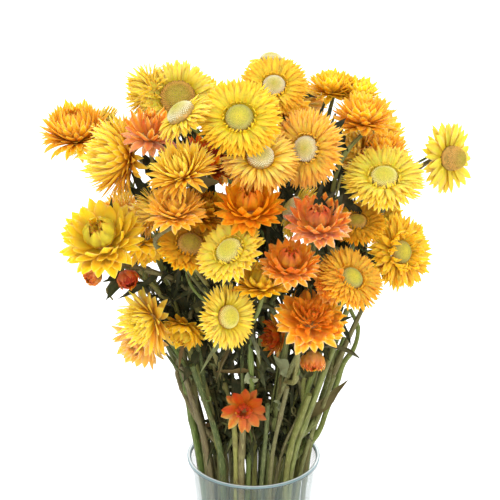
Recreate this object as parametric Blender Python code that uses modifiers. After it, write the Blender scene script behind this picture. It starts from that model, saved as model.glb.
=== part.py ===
"""Dried strawflowers: a bunch of yellow, orange and coral heads on branching leafy stems,
standing in a plain glass vase. Lengths are in millimetres until a mesh is made, in metres."""

import math

import bmesh
import bpy
import numpy as np

MM = 0.001
GAP = 0.35  # clear space between pieces that rest on each other

# Moving pieces apart: heads by so many small steps, then stems. Each piece keeps a margin to the next.
WATCH = 26.0  # pieces closer than this are watched while they are moved apart
HEAD_STEPS = 160
HEAD_MARGIN = 1.5
SIDEWAYS = 0.5  # how freely heads move across the line of sight, beside 1 along it
HOMING = 0.08  # pull of a head back to its line of sight in each of the first HOMING_STEPS
HOMING_STEPS = 112
PRESS = 0.5  # heads of one node stand this share of their half-widths apart
STEM_STEPS = 150
STEM_MARGIN = 1.1
STEM_STRIDE = 3.0  # a stem's point moves no further than this in a step

# The vase: a plain taper that straightens below the shoulder.
VASE_HEIGHT = 225.0
RIM_RADIUS = 41.5
BODY_RADIUS = 33.0
SHOULDER_DROP = 120.0  # the wall narrows over this height below the rim
WALL = 2.6
FLOOR = 12.0
HEEL = 4.0  # rounding at the foot
VASE_SIDES = 32

# The eye that the picture was taken from, looking down on the rim. Pixels are of its 500-pixel square.
EYE = np.array([-2.2, -955.5, 770.0])
VIEW_DROP = math.radians(23.1)
FOCAL_PIXELS = 1754.0
PICTURE_MIDDLE = 250.0
ACROSS = np.array([1.0, 0.0, 0.0])
UPRIGHT = np.array([0.0, math.sin(VIEW_DROP), math.cos(VIEW_DROP)])
TOWARDS = np.array([0.0, -math.cos(VIEW_DROP), math.sin(VIEW_DROP)])

# The crown: the rounded mass of the bunch. The heads sit on it.
CROWN_CENTRE = np.array([-7.0, 0.0, 397.0])
CROWN_RADII = np.array([103.0, 92.0, 82.0])

# Stems: shoots stand on the vase's floor, fork low into stems, and fork again below the heads.
SHOOTS = 8
STEMS = 22
SHOOT_RING = 21.0
STEM_RING = 32.0
LOWEST_ANGLE = math.radians(135.0)  # heads this far down the crown have stems at the rim's edge
SHOOT_THICK = 5.2
STEM_THICK = 4.6
TWIG_THICK = 3.0
NECK_THICK = 2.2  # under a head
NECK = 4.0  # length of the straight neck under a head
UPRIGHT_FOOT = 8.0  # a shoot stands upright for this height
FORK_HEIGHTS = (44.0, 53.0, 62.0, 71.0)
FORK_LEAN = 0.25  # share of the way from a shoot's foot to its stems' middle at the rim
FORK_SPREAD = 4.6  # stems leave a shoot's fork this far to the side
FORK_RISE = 9.0
ABOVE_RIM = 6.0
TWIG_DROP = 45.0  # a twig leaves its stem this far below the head
TWIST = math.radians(25.0)  # the bunch turns a little between floor and rim
GOLDEN_TURN = math.pi * (3 - math.sqrt(5))

# Leaves: dry lance-shaped blades. Stations are shares of the length, and widths there shares of the width.
LEAVES = 32
LEAF_THICK = 0.8
LEAF_TOP = 335.0  # leaves grow below this height
LEAF_LENGTHS = (8.0, 15.0)
LEAF_WIDTHS = (4.0, 7.0)
LEAF_STATIONS = np.array([0.0, 0.35, 0.7, 1.0])
LEAF_OUTLINE = np.array([0.45, 1.0, 0.72, 0.0])
SEED = 7

# One head a line: node, column, row, lift towards the eye, width across, turn away from the eye,
# clock angle of that turn (0 right, 90 up), form, colour.
SEEN_HEADS = [
    ("bloom_far_left", 77, 136, 8, 41, 60, 98, "double", "apricot"),
    ("bloom_left_side", 123, 157, -2, 48, 70, 175, "double", "golden"),
    ("bloom_brown_eye", 178, 97, 0, 43, 16, 95, "open", "lemon"),
    ("bloom_brown_eye", 149, 93, -12, 32, 68, 168, "double", "lemon"),
    ("bloom_cream_dome", 185, 119, 24, 34, 66, 128, "open", "lemon"),
    ("bloom_coral_left", 154, 139, 16, 32, 52, 82, "cup", "coral"),
    ("bloom_spiky", 178, 168, 12, 38, 54, 112, "double", "lemon"),
    ("bloom_big_yellow", 238, 120, 22, 45, 20, 95, "open", "golden"),
    ("bloom_top_amber", 274, 88, 2, 38, 26, 95, "open", "amber"),
    ("bloom_crest", 271, 61, -26, 28, 78, 88, "open", "lemon"),
    ("bloom_top_right", 330, 87, -8, 31, 70, 92, "double", "amber"),
    ("bloom_top_right", 359, 96, -14, 30, 70, 72, "double", "amber"),
    ("bloom_right_apricot", 364, 118, 8, 37, 64, 88, "double", "apricot"),
    ("bloom_pale_eye", 307, 148, 12, 43, 26, 175, "open", "amber"),
    ("bloom_weeping", 260, 159, 2, 41, 32, 85, "open", "lemon"),
    ("bloom_right_peach", 384, 151, -16, 32, 62, 75, "cup", "amber"),
    ("bloom_right_lemon", 384, 179, 10, 45, 40, 92, "open", "lemon"),
    ("bloom_right_peach", 355, 151, -24, 29, 75, 150, "double", "amber"),
    ("bloom_far_right", 449, 158, 0, 40, 46, 352, "open", "lemon"),
    ("bloom_deep_orange", 250, 207, 6, 38, 44, 92, "cup", "orange"),
    ("bloom_coral_middle", 317, 222, 16, 35, 42, 88, "cup", "coral"),
    ("bloom_shaded_eye", 357, 223, -12, 32, 42, 88, "open", "golden"),
    ("bloom_right_golden", 400, 252, 6, 43, 34, 5, "open", "amber"),
    ("bloom_orange_fringe", 351, 279, 14, 38, 40, 48, "open", "amber"),
    ("bloom_orange_fringe", 331, 283, 4, 26, 60, 205, "double", "amber"),
    ("bloom_coral_low", 290, 265, 8, 33, 46, 88, "cup", "coral"),
    ("bloom_left_lemon", 231, 249, 16, 38, 42, 130, "open", "lemon"),
    ("bloom_under_gold", 262, 283, -6, 32, 60, 92, "cup", "golden"),
    ("bloom_big_orange", 311, 320, 16, 40, 34, 78, "double", "orange"),
    ("bloom_low_lemon", 227, 317, 14, 37, 38, 5, "open", "lemon"),
    ("bloom_low_left", 150, 319, 10, 40, 58, 205, "double", "lemon"),
    ("bloom_low_peach", 140, 341, -12, 37, 58, 232, "double", "apricot"),
    ("bloom_left_goblet", 104, 239, 14, 47, 32, 112, "cup", "golden"),
    ("bloom_mid_apricot", 175, 210, 15, 33, 56, 95, "double", "apricot"),
    ("bloom_pale_behind", 151, 212, -10, 30, 70, 160, "double", "lemon"),
    ("bloom_scalloped", 190, 245, -8, 36, 36, 75, "open", "golden"),
    ("bloom_ochre", 204, 211, -18, 32, 60, 60, "double", "amber"),
    ("bud_peach", 95, 273, -8, 14, 60, 220, "bud", "coral"),
    ("bud_dark", 126, 275, -6, 14, 60, 300, "bud", "red"),
    ("bloom_tan", 145, 249, -18, 29, 75, 280, "double", "apricot"),
    ("bloom_red_behind", 212, 160, -12, 37, 60, 60, "cup", "red"),
    ("bloom_dark_coral", 277, 337, -16, 27, 70, 180, "cup", "coral"),
    ("bud_low_coral", 313, 357, -8, 16, 70, 270, "bud", "coral"),
    ("bloom_cream_side", 295, 210, -14, 32, 72, 152, "open", "lemon"),
    ("bloom_low_gold", 184, 330, -12, 27, 60, 250, "cup", "golden"),
    ("bloom_side_orange", 289, 112, -18, 34, 62, 20, "double", "orange"),
]
# The small red head just above the rim sits in front of the stems, off the crown.
LOW_RED = ("bloom_small_red", 244, 409, 42, 26, 15, 270, "cup", "red")

# The far side of the crown: node, compass angle (90 is straight back), angle down from the top,
# width across, form, colour.
BACK_HEADS = [
    ("bloom_back_top_left", 126, 52, 40, "open", "golden"),
    ("bloom_back_top_left", 100, 72, 34, "double", "golden"),
    ("bloom_back_top_right", 68, 66, 36, "open", "orange"),
    ("bloom_back_left", 158, 70, 42, "open", "lemon"),
    ("bloom_back_left", 138, 84, 38, "cup", "lemon"),
    ("bloom_back_right", 34, 74, 36, "cup", "amber"),
    ("bloom_back_right_side", 46, 88, 40, "open", "lemon"),
    ("bloom_back_middle", 100, 94, 44, "open", "coral"),
    ("bloom_back_middle", 80, 104, 38, "cup", "coral"),
    ("bloom_back_low_left", 142, 116, 38, "double", "apricot"),
    ("bloom_back_low_right", 26, 112, 38, "open", "golden"),
]

# Each form of head in half-widths: (radius, height) of the rings from the top to the base, and the height
# and radius of a ball that stands for its core. Star rings run from tip to notch and back.
FORMS = {
    "open": {
        "middle": 0.20, "crown": (0.22, 0.17), "eye": (0.36, 0.07),
        "inner_tip": (0.80, 0.20), "inner_notch": (0.54, 0.08), "crease": (0.46, 0.0),
        "outer_tip": (1.0, 0.02), "outer_notch": (0.66, -0.05), "base": (0.13, -0.27),
        "core": (-0.04, 0.36),
    },
    "cup": {
        "middle": 0.50, "crown": None, "eye": (0.41, 0.26),
        "inner_tip": (0.74, 0.54), "inner_notch": (0.52, 0.22), "crease": (0.44, 0.08),
        "outer_tip": (1.0, 0.22), "outer_notch": (0.64, 0.0), "base": (0.14, -0.22),
        "core": (0.14, 0.48),
    },
    "double": {
        "middle": 0.56, "crown": None, "eye": (0.34, 0.44),
        "inner_tip": (0.76, 0.58), "inner_notch": (0.50, 0.30), "crease": (0.42, 0.12),
        "outer_tip": (1.0, 0.18), "outer_notch": (0.64, 0.0), "base": (0.13, -0.24),
        "core": (0.16, 0.48),
    },
    "bud": {
        "middle": 1.2, "crown": None, "eye": (0.66, 0.80),
        "inner_tip": (0.92, 0.86), "inner_notch": (0.84, 0.42), "crease": (0.78, 0.16),
        "outer_tip": (1.0, 0.40), "outer_notch": (0.74, -0.06), "base": (0.28, -0.42),
        "core": (0.34, 0.9),
    },
}
BRACTS = {"open": 11, "cup": 9, "double": 11, "bud": 6}
TIP_STRAY = 0.16  # a bract leans this share of its pitch to either side
TIP_WILT = 0.12  # a bract is up to this share shorter
UPTURN = 0.35  # heads at the back look up by this much

# Balls that stand for a head's bracts while pieces are moved apart: ring, count, share of the ring's radius
# and of its height, and size.
BALL_RINGS = [
    ("outer_tip", 14, 0.96, 0.96, 0.08), ("outer_tip", 10, 0.80, 0.70, 0.16),
    ("outer_tip", 8, 0.56, 0.50, 0.20), ("inner_tip", 8, 0.88, 0.88, 0.12),
]

PAINT = {
    "lemon": (0.92, 0.76, 0.12), "golden": (0.90, 0.60, 0.07), "amber": (0.92, 0.52, 0.09),
    "apricot": (0.90, 0.46, 0.14), "orange": (0.86, 0.30, 0.04), "coral": (0.80, 0.28, 0.12),
    "red": (0.70, 0.13, 0.04), "eye": (0.62, 0.60, 0.22), "stem": (0.25, 0.28, 0.12),
    "glass": (0.80, 0.90, 0.90),
}


def unit(vector):
    return vector / np.linalg.norm(vector)


def sight_line(column, row):
    """Direction from the eye through a pixel."""
    return unit(
        -TOWARDS
        + ACROSS * (column - PICTURE_MIDDLE) / FOCAL_PIXELS
        + UPRIGHT * (PICTURE_MIDDLE - row) / FOCAL_PIXELS
    )


def on_crown(column, row, lift):
    """Where a sight line meets the crown's near side, or passes closest, moved by lift towards the eye."""
    line = sight_line(column, row)
    start = (EYE - CROWN_CENTRE) / CROWN_RADII
    step = line / CROWN_RADII
    nearest = -start @ step / (step @ step)
    miss = start + nearest * step
    inside = 1.0 - miss @ miss
    reach = nearest - math.sqrt(max(inside, 0.0) / (step @ step))
    return EYE + line * (reach - lift)


def facing_of(turn, clock):
    """The way a head faces: turned away from the eye by turn degrees, towards a clock angle."""
    turn, clock = math.radians(turn), math.radians(clock)
    sideways = ACROSS * math.cos(clock) + UPRIGHT * math.sin(clock)
    return TOWARDS * math.cos(turn) + sideways * math.sin(turn)


def head_at(node, place, facing, width, form, colour):
    return {
        "node": node, "place": np.array(place, float), "facing": unit(facing),
        "radius": width / 2, "form": form, "colour": colour,
    }


def all_heads():
    heads = []
    for node, column, row, lift, width, turn, clock, form, colour in SEEN_HEADS:
        place = on_crown(column, row, lift)
        heads.append(head_at(node, place, facing_of(turn, clock), width, form, colour))
    node, column, row, out, width, turn, clock, form, colour = LOW_RED
    line = sight_line(column, row)
    reach = (-out - EYE[1]) / line[1]
    heads.append(head_at(node, EYE + line * reach, facing_of(turn, clock), width, form, colour))
    for node, compass, down, width, form, colour in BACK_HEADS:
        compass, down = math.radians(compass), math.radians(down)
        flat = math.sin(down)
        way = np.array([math.cos(compass) * flat, math.sin(compass) * flat, math.cos(down)])
        facing = unit(way / CROWN_RADII) + np.array([0.0, 0.0, UPTURN])
        heads.append(head_at(node, CROWN_CENTRE + way * CROWN_RADII, facing, width, form, colour))
    return heads


def frame_of(facing):
    """Three unit vectors, the last along facing."""
    side = unit(np.cross([0.0, 0.0, 1.0], facing) + np.array([1e-6, 0.0, 0.0]))
    return side, np.cross(facing, side), facing


def ball_ring(head, count, radius, height, size):
    """Balls that stand for a ring of a head's bracts: centres and radii."""
    side, other, facing = frame_of(head["facing"])
    turns = np.arange(count) * 2 * math.pi / count
    around = np.outer(np.cos(turns), side) + np.outer(np.sin(turns), other)
    centres = head["place"] + head["radius"] * (around * radius + facing * height)
    return centres, np.full(count, size * head["radius"])


def balls_of(head):
    """Centres and radii of the balls that fill a head."""
    form = FORMS[head["form"]]
    rings = [ball_ring(head, 1, 0.0, *form["core"])]
    for ring, count, out, up, size in BALL_RINGS:
        radius, height = form[ring]
        rings.append(ball_ring(head, count, out * radius, up * height, size))
    return np.concatenate([r[0] for r in rings]), np.concatenate([r[1] for r in rings])


def all_balls(heads):
    """The balls of every head: centres, radii, and the number of the head that each belongs to."""
    balls = [balls_of(head) for head in heads]
    owner = np.repeat(np.arange(len(heads)), [len(sizes) for _, sizes in balls])
    return np.concatenate([b[0] for b in balls]), np.concatenate([b[1] for b in balls]), owner


def near_pairs(centres, sizes, allowed):
    """Numbers of the allowed pairs of balls that are close enough to watch."""
    gap = np.linalg.norm(centres[:, None, :] - centres[None, :, :], axis=2)
    gap -= sizes[:, None] + sizes[None, :]
    return np.nonzero(np.triu(allowed & (gap < WATCH), 1))


def part_heads(heads):
    """Moves heads of different nodes apart, mostly along the line of sight, until their balls are clear.

    Heads of one node are drawn together until they press into each other.
    """
    places = np.array([head["place"] for head in heads])
    home = places.copy()
    centres, sizes, owner = all_balls(heads)
    offsets = centres - places[owner]
    names = sorted({head["node"] for head in heads})
    node = np.array([names.index(head["node"]) for head in heads])
    a, b = near_pairs(centres, sizes, node[owner][:, None] != node[owner][None, :])
    mates = [(i, j) for i in range(len(heads)) for j in range(i) if node[i] == node[j]]
    for step in range(HEAD_STEPS):
        centres = places[owner] + offsets
        apart = centres[a] - centres[b]
        distance = np.linalg.norm(apart, axis=1) + 1e-9
        overlap = np.maximum(sizes[a] + sizes[b] + HEAD_MARGIN - distance, 0.0)
        push = apart / distance[:, None] * overlap[:, None]
        move, touching = np.zeros_like(places), np.zeros(len(places))
        for ends, sign in ((a, 1), (b, -1)):
            np.add.at(move, owner[ends], sign * push)
            np.add.at(touching, owner[ends], overlap > 0)
        move *= 0.5 / np.maximum(touching, 1)[:, None]
        for i, j in mates:
            between = places[j] - places[i]
            reach = PRESS * (heads[i]["radius"] + heads[j]["radius"])
            pull = 0.4 * between * max(1.0 - reach / np.linalg.norm(between), 0.0)
            move[i] += pull
            move[j] -= pull
        if step < HOMING_STEPS:
            stray = places - home
            move -= HOMING * (stray - np.outer(stray @ TOWARDS, TOWARDS))
        along = np.outer(move @ TOWARDS, TOWARDS)
        places += along + SIDEWAYS * (move - along)
    for head, place in zip(heads, places):
        head["place"] = place


def sunflower(count, ring):
    """Points spread evenly over a disc, as seeds are in a sunflower."""
    i = np.arange(count)
    radius = ring * np.sqrt((i + 0.5) / count)
    return np.stack([radius * np.cos(i * GOLDEN_TURN), radius * np.sin(i * GOLDEN_TURN)], axis=1)


def neck_point(head):
    """Where a head's stem crosses the rim: high heads come up the middle and low ones round the outside."""
    way = (head["place"] - CROWN_CENTRE) / CROWN_RADII
    way = way / np.linalg.norm(way)
    share = math.sqrt(min((1.0 - way[2]) / (1.0 - math.cos(LOWEST_ANGLE)), 1.0))
    flat = math.hypot(way[0], way[1]) + 1e-9
    return STEM_RING * share * way[:2] / flat


def nearest(point, points):
    return int(np.argmin(np.linalg.norm(points - point, axis=1)))


def outer_radius(z):
    """The vase's radius at a height."""
    share = min(max((z - (VASE_HEIGHT - SHOULDER_DROP)) / SHOULDER_DROP, 0.0), 1.0)
    return BODY_RADIUS + (RIM_RADIUS - BODY_RADIUS) * share**1.6


def inner_radius(z):
    return outer_radius(z) - WALL


def curve_between(start, start_way, end, end_way, count):
    """Points on a smooth curve that leaves start along start_way and reaches end along end_way."""
    pull = np.linalg.norm(end - start)
    t = np.linspace(0.0, 1.0, count)[:, None]
    a = start_way * pull
    b = end_way * pull
    return (
        (2 * t**3 - 3 * t**2 + 1) * start + (t**3 - 2 * t**2 + t) * a
        + (3 * t**2 - 2 * t**3) * end + (t**3 - t**2) * b
    )


class Web:
    """All stems as one web of points: each line is a list of point numbers, and belongs to a shoot."""

    def __init__(self):
        self.points, self.thick, self.fixed, self.lines = [], [], [], []

    def add_point(self, place, thick, fixed=False):
        self.points.append(np.array(place, float))
        self.thick.append(thick)
        self.fixed.append(fixed)
        return len(self.points) - 1

    def add_line(self, shoot, places, thick, root=None, head=None):
        """A line through places, getting evenly thinner. It starts at point root, or at a new fixed one."""
        widths = np.linspace(thick[0], thick[1], len(places))
        last = len(places) - 1
        line = []
        for i, (place, width) in enumerate(zip(places, widths)):
            if i == 0 and root is not None:
                line.append(root)
            else:
                fixed = i == 0 or (head is not None and i >= last - 1)
                line.append(self.add_point(place, width, fixed))
        self.lines.append({"shoot": shoot, "points": line, "thick": thick, "head": head})
        return line


def base_of(head):
    """The flat spot under a head, where its stem ends."""
    return head["place"] + head["facing"] * head["radius"] * FORMS[head["form"]]["base"][1]


def grow_stems(heads):
    """The web of stems: shoots from the floor, stems through the rim, and the end of one at each head."""
    web = Web()
    feet = sunflower(SHOOTS, SHOOT_RING)
    turn = np.array([[math.cos(TWIST), -math.sin(TWIST)], [math.sin(TWIST), math.cos(TWIST)]])
    necks = sunflower(STEMS, STEM_RING)
    carried = {}
    for number, head in enumerate(heads):
        carried.setdefault(nearest(neck_point(head), necks), []).append(number)
    shoots = {}
    for neck in carried:
        shoots.setdefault(nearest(necks[neck] * SHOOT_RING / STEM_RING @ turn, feet), []).append(neck)
    for shoot, mine in sorted(shoots.items()):
        stems = [(necks[n], [heads[i] for i in carried[n]]) for n in sorted(mine)]
        grow_shoot(web, shoot, feet[shoot], stems)
    return web


def grow_shoot(web, shoot, foot, stems):
    """One shoot: a foot on the floor, and stems that fork from it inside the vase."""
    middle = np.mean([neck for neck, _ in stems], axis=0)
    fork = (*(foot + (middle - foot) * FORK_LEAN), FORK_HEIGHTS[shoot % len(FORK_HEIGHTS)])
    places = [(*foot, FLOOR + GAP), (*foot, FLOOR + UPRIGHT_FOOT), fork]
    trunk = web.add_line(shoot, places, (SHOOT_THICK, SHOOT_THICK))
    web.fixed[trunk[1]] = True
    for neck, heads in stems:
        spread = np.array([*(neck - middle), 0.0])
        spread = unit(spread) * FORK_SPREAD if len(stems) > 1 else spread
        grow_stem(web, shoot, trunk[-1], spread + np.array([0.0, 0.0, FORK_RISE]), neck, heads)


def grow_stem(web, shoot, root, elbow, neck, heads):
    """A stem from a shoot's fork through the rim to its highest head, with a twig to each of the others."""
    heads = sorted(heads, key=lambda head: -head["place"][2])
    start = web.points[root]
    rim = np.array([*neck, VASE_HEIGHT + ABOVE_RIM])
    rising = unit(np.array([*(neck / STEM_RING * 0.18), 1.0]))
    low = [start, start + elbow, start + elbow + (rim - start - elbow) * 0.5]
    first = heads[0]
    end = base_of(first) - first["facing"] * GAP
    last = end - first["facing"] * NECK
    high = curve_between(rim, rising * 0.9, last, first["facing"] * 0.5, 5)
    places = [*low, *high, end]
    stem = web.add_line(shoot, places, (STEM_THICK, NECK_THICK), root=root, head=first)
    for head in heads[1:]:
        end = base_of(head) - head["facing"] * GAP
        level = min(end[2] - TWIG_DROP, web.points[stem[-3]][2])
        fork = min(stem[3:-3], key=lambda p: abs(web.points[p][2] - level))
        away = web.points[fork]
        last = end - head["facing"] * NECK
        leaving = unit(last - away + np.array([0.0, 0.0, TWIG_DROP]))
        places = [*curve_between(away, leaving * 0.5, last, head["facing"] * 0.5, 4), end]
        web.add_line(shoot, places, (TWIG_THICK, NECK_THICK), root=fork, head=head)


def closest_on_segment(spots, low, high):
    """The points of the segments that lie closest to the spots, and their shares along the segments."""
    along = high - low
    share = np.clip(((spots - low) * along).sum(-1) / (along * along).sum(-1), 0, 1)
    return low + along * share[..., None], share


def closest_on_segments(a0, a1, b0, b1):
    """For pairs of segments, the shares along each where they come closest."""
    u, v, w = a1 - a0, b1 - b0, a0 - b0
    uu, uv, vv = (u * u).sum(-1), (u * v).sum(-1), (v * v).sum(-1)
    uw, vw = (u * w).sum(-1), (v * w).sum(-1)
    area = uu * vv - uv * uv
    s = np.clip(np.where(area > 1e-9, (uv * vw - vv * uw) / np.maximum(area, 1e-9), 0.0), 0, 1)
    t = np.clip((uv * s + vw) / np.maximum(vv, 1e-9), 0, 1)
    s = np.clip((uv * t - uw) / np.maximum(uu, 1e-9), 0, 1)
    return s, t


def part_stems(web, heads):
    """Bends stems clear of each other, of the heads and of the glass. Lines meet only at their forks."""
    points, thick, fixed = np.array(web.points), np.array(web.thick), np.array(web.fixed)
    ends = np.array([pair for line in web.lines for pair in zip(line["points"], line["points"][1:])])
    line_of = np.array([i for i, line in enumerate(web.lines) for _ in line["points"][1:]])
    numbers = {id(head): i for i, head in enumerate(heads)}
    head_of = np.array([numbers.get(id(line["head"]), -1) for line in web.lines])[line_of]
    width = thick[ends].mean(axis=1)
    joined = line_of[:, None] == line_of[None, :]
    joined |= (ends[:, None, :, None] == ends[None, :, None, :]).any(axis=(2, 3))
    middle = points[ends].mean(axis=1)
    half = np.linalg.norm(points[ends[:, 1]] - points[ends[:, 0]], axis=1) / 2
    first, second = near_pairs(middle, half, ~joined)
    places = np.array([head["place"] for head in heads])
    centres, sizes, owner = all_balls(heads)
    reach = np.linalg.norm(middle[:, None, :] - centres[None, :, :], axis=2) - half[:, None] - sizes
    segment, ball = np.nonzero((head_of[:, None] != owner[None, :]) & (reach < WATCH))
    for _ in range(STEM_STEPS):
        push = np.zeros_like(points)
        push_from_stems(push, points, ends[first], ends[second], (width[first] + width[second]) / 2)
        room = width[segment] / 2 + sizes[ball]
        push_from_heads(push, points, ends[segment], centres[ball], places[owner[ball]], room)
        size = np.linalg.norm(push, axis=1, keepdims=True) + 1e-9
        points[~fixed] += (push / size * np.minimum(size, STEM_STRIDE))[~fixed]
        keep_in_glass(points, thick, fixed)
    web.points = list(points)


def push_from_stems(push, points, a, b, room):
    """Adds to push what moves each pair of segments, a and b, apart where they come closest."""
    s, t = closest_on_segments(points[a[:, 0]], points[a[:, 1]], points[b[:, 0]], points[b[:, 1]])
    on_a = points[a[:, 0]] + (points[a[:, 1]] - points[a[:, 0]]) * s[:, None]
    on_b = points[b[:, 0]] + (points[b[:, 1]] - points[b[:, 0]]) * t[:, None]
    distance = np.linalg.norm(on_a - on_b, axis=1) + 1e-9
    overlap = np.maximum(room + STEM_MARGIN - distance, 0.0)
    move = (on_a - on_b) / distance[:, None] * overlap[:, None] * 0.5
    np.add.at(push, a[:, 0], move * (1 - s)[:, None])
    np.add.at(push, a[:, 1], move * s[:, None])
    np.add.at(push, b[:, 0], -move * (1 - t)[:, None])
    np.add.at(push, b[:, 1], -move * t[:, None])


def push_from_heads(push, points, ends, centres, places, room):
    """Adds to push what moves segments off the balls at centres, straight away from their heads' places."""
    low, high = points[ends[:, 0]], points[ends[:, 1]]
    closest, share = closest_on_segment(centres, low, high)
    overlap = np.maximum(room + STEM_MARGIN - np.linalg.norm(closest - centres, axis=1), 0.0)
    way = closest_on_segment(places, low, high)[0] - places
    move = way / (np.linalg.norm(way, axis=1, keepdims=True) + 1e-9) * overlap[:, None] * 0.5
    np.add.at(push, ends[:, 0], move * (1 - share)[:, None])
    np.add.at(push, ends[:, 1], move * share[:, None])


def keep_in_glass(points, thick, fixed):
    """Pulls stems inside the vase's wall."""
    for i in np.nonzero((points[:, 2] < VASE_HEIGHT + 2 * ABOVE_RIM) & ~fixed)[0]:
        room = inner_radius(min(points[i, 2], VASE_HEIGHT)) - thick[i] / 2 - STEM_MARGIN
        flat = math.hypot(points[i, 0], points[i, 1])
        if flat > room:
            points[i, :2] *= room / flat


def draw_leaf(draw, spans):
    """A leaf at a random place on a stem: it leaves outward and droops."""
    shoot, start, end = spans[draw.integers(len(spans))]
    root = start + (end - start) * draw.uniform(0.1, 0.9)
    compass = draw.uniform(0, 2 * math.pi)
    outward = 0.3 * root[:2] / (np.linalg.norm(root[:2]) + 1e-6)
    level = np.array([math.cos(compass), math.sin(compass)]) + outward
    way = unit(np.array([*level, draw.uniform(0.2, 1.0)]))
    hang = np.array([0.0, 0.0, -draw.uniform(0.4, 1.3)])
    curve = np.outer(LEAF_STATIONS, way) + np.outer(LEAF_STATIONS**2, hang)
    line = root + draw.uniform(*LEAF_LENGTHS) * curve
    return {"shoot": shoot, "line": line, "widths": draw.uniform(*LEAF_WIDTHS) * LEAF_OUTLINE}


def place_leaves(web, heads):
    """Leaves at seeded places on the stems, each kept only where it is clear of all other pieces."""
    draw = np.random.default_rng(SEED)
    points = np.array(web.points)
    pairs = [
        (line["shoot"], a, b) for line in web.lines for a, b in zip(line["points"], line["points"][1:])
    ]
    shoots = np.array([shoot for shoot, _, _ in pairs])
    low, high = points[[a for _, a, _ in pairs]], points[[b for _, _, b in pairs]]
    bearing = [
        (shoot, points[a], points[b]) for shoot, a, b in pairs
        if VASE_HEIGHT < points[a][2] < LEAF_TOP and web.thick[b] > NECK_THICK
    ]
    centres, sizes, _ = all_balls(heads)
    leaves, taken = [], np.full((1, 3), -1000.0)
    while len(leaves) < LEAVES:
        leaf = draw_leaf(draw, bearing)
        line, widths = leaf["line"], leaf["widths"]
        tests = np.concatenate([line[1:], (line[1:] + line[:-1]) / 2])[:, None, :]
        rooms = np.concatenate([widths[1:], (widths[1:] + widths[:-1]) / 2]) / 2 + STEM_MARGIN
        others = shoots != leaf["shoot"]
        nearest_on_stems = closest_on_segment(tests, low[others], high[others])[0]
        from_stems = np.linalg.norm(nearest_on_stems - tests, axis=2)
        from_heads = np.linalg.norm(tests - centres, axis=2) - sizes
        if (
            (from_stems.min(axis=1) > rooms + STEM_THICK / 2).all()
            and (from_heads.min(axis=1) > rooms + STEM_MARGIN).all()
            and np.linalg.norm(tests - taken, axis=2).min() > LEAF_WIDTHS[1]
            and line[:, 2].min() > VASE_HEIGHT + ABOVE_RIM
        ):
            leaves.append(leaf)
            taken = np.concatenate([taken, tests[:, 0]])
    return leaves


def paint(name, colour, roughness=0.7):
    material = bpy.data.materials.new(name)
    material.use_nodes = True
    shader = material.node_tree.nodes["Principled BSDF"]
    shader.inputs["Base Color"].default_value = (*colour, 1.0)
    shader.inputs["Roughness"].default_value = roughness
    if name == "glass":
        shader.inputs["Transmission Weight"].default_value = 1.0
        shader.inputs["Roughness"].default_value = 0.03
    material.diffuse_color = (*colour, 1.0)
    return material


def new_object(name, mesh, collection, *materials):
    for material in materials:
        mesh.materials.append(material)
    thing = bpy.data.objects.new(name, mesh)
    collection.objects.link(thing)
    return thing


def zip_rings(bm, upper, lower, slot):
    """Joins two closed rings of (angle, vertex), whose counts may differ, with triangles."""
    a, b = 0, 0
    while a < len(upper) or b < len(lower):
        next_a = upper[a + 1][0] if a + 1 < len(upper) else upper[0][0] + 2 * math.pi
        next_b = lower[b + 1][0] if b + 1 < len(lower) else lower[0][0] + 2 * math.pi
        top, bottom = upper[a % len(upper)][1], lower[b % len(lower)][1]
        if b >= len(lower) or (a < len(upper) and next_a <= next_b):
            a += 1
            corners = (top, bottom, upper[a % len(upper)][1])
        else:
            b += 1
            corners = (top, bottom, lower[b % len(lower)][1])
        bm.faces.new(corners).material_index = slot


def head_rings(head, draw):
    """The rings of a head, top to base, each as (angle, radius, height) in half-widths."""
    form = FORMS[head["form"]]
    count = BRACTS[head["form"]]
    step = 2 * math.pi / count
    even = np.arange(count) * step

    def plain(ring, shift=0.0):
        return [(angle + shift, *ring) for angle in even]

    def star(tip, notch, shift):
        ring = []
        for angle in even + shift:
            stray = draw.uniform(-TIP_STRAY, TIP_STRAY) * step
            ring.append((angle + stray, tip[0] * draw.uniform(1 - TIP_WILT, 1), tip[1]))
            ring.append((angle + step / 2, *notch))
        return ring

    crown = [plain(form["crown"])] if form["crown"] else []
    return [
        *crown, plain(form["eye"]),
        star(form["inner_tip"], form["inner_notch"], 0.0),
        plain(form["crease"], step / 2),
        star(form["outer_tip"], form["outer_notch"], step / 2),
        plain(form["base"], step / 2),
    ]


def loft_head(head, draw):
    """A head as one closed skin: a raised eye, two star rings of bracts, and a flat spot for the stem."""
    bm = bmesh.new()
    side, other, facing = frame_of(head["facing"])

    def vertex(angle, radius, height):
        around = side * math.cos(angle) + other * math.sin(angle)
        return bm.verts.new((head["place"] + head["radius"] * (around * radius + facing * height)) * MM)

    rings = [[(angle, vertex(angle, r, h)) for angle, r, h in ring] for ring in head_rings(head, draw)]
    top = vertex(0.0, 0.0, FORMS[head["form"]]["middle"])
    crown = [v for _, v in rings[0]]
    eye_slot = 1 if head["form"] == "open" else 0
    for a, b in zip(crown, crown[1:] + crown[:1]):
        bm.faces.new((top, a, b)).material_index = eye_slot
    for number, (upper, lower) in enumerate(zip(rings, rings[1:])):
        zip_rings(bm, upper, lower, eye_slot if number == 0 else 0)
    bm.faces.new([v for _, v in reversed(rings[-1])])
    mesh = bpy.data.meshes.new(head["node"])
    bm.to_mesh(mesh)
    bm.free()
    return mesh


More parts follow.
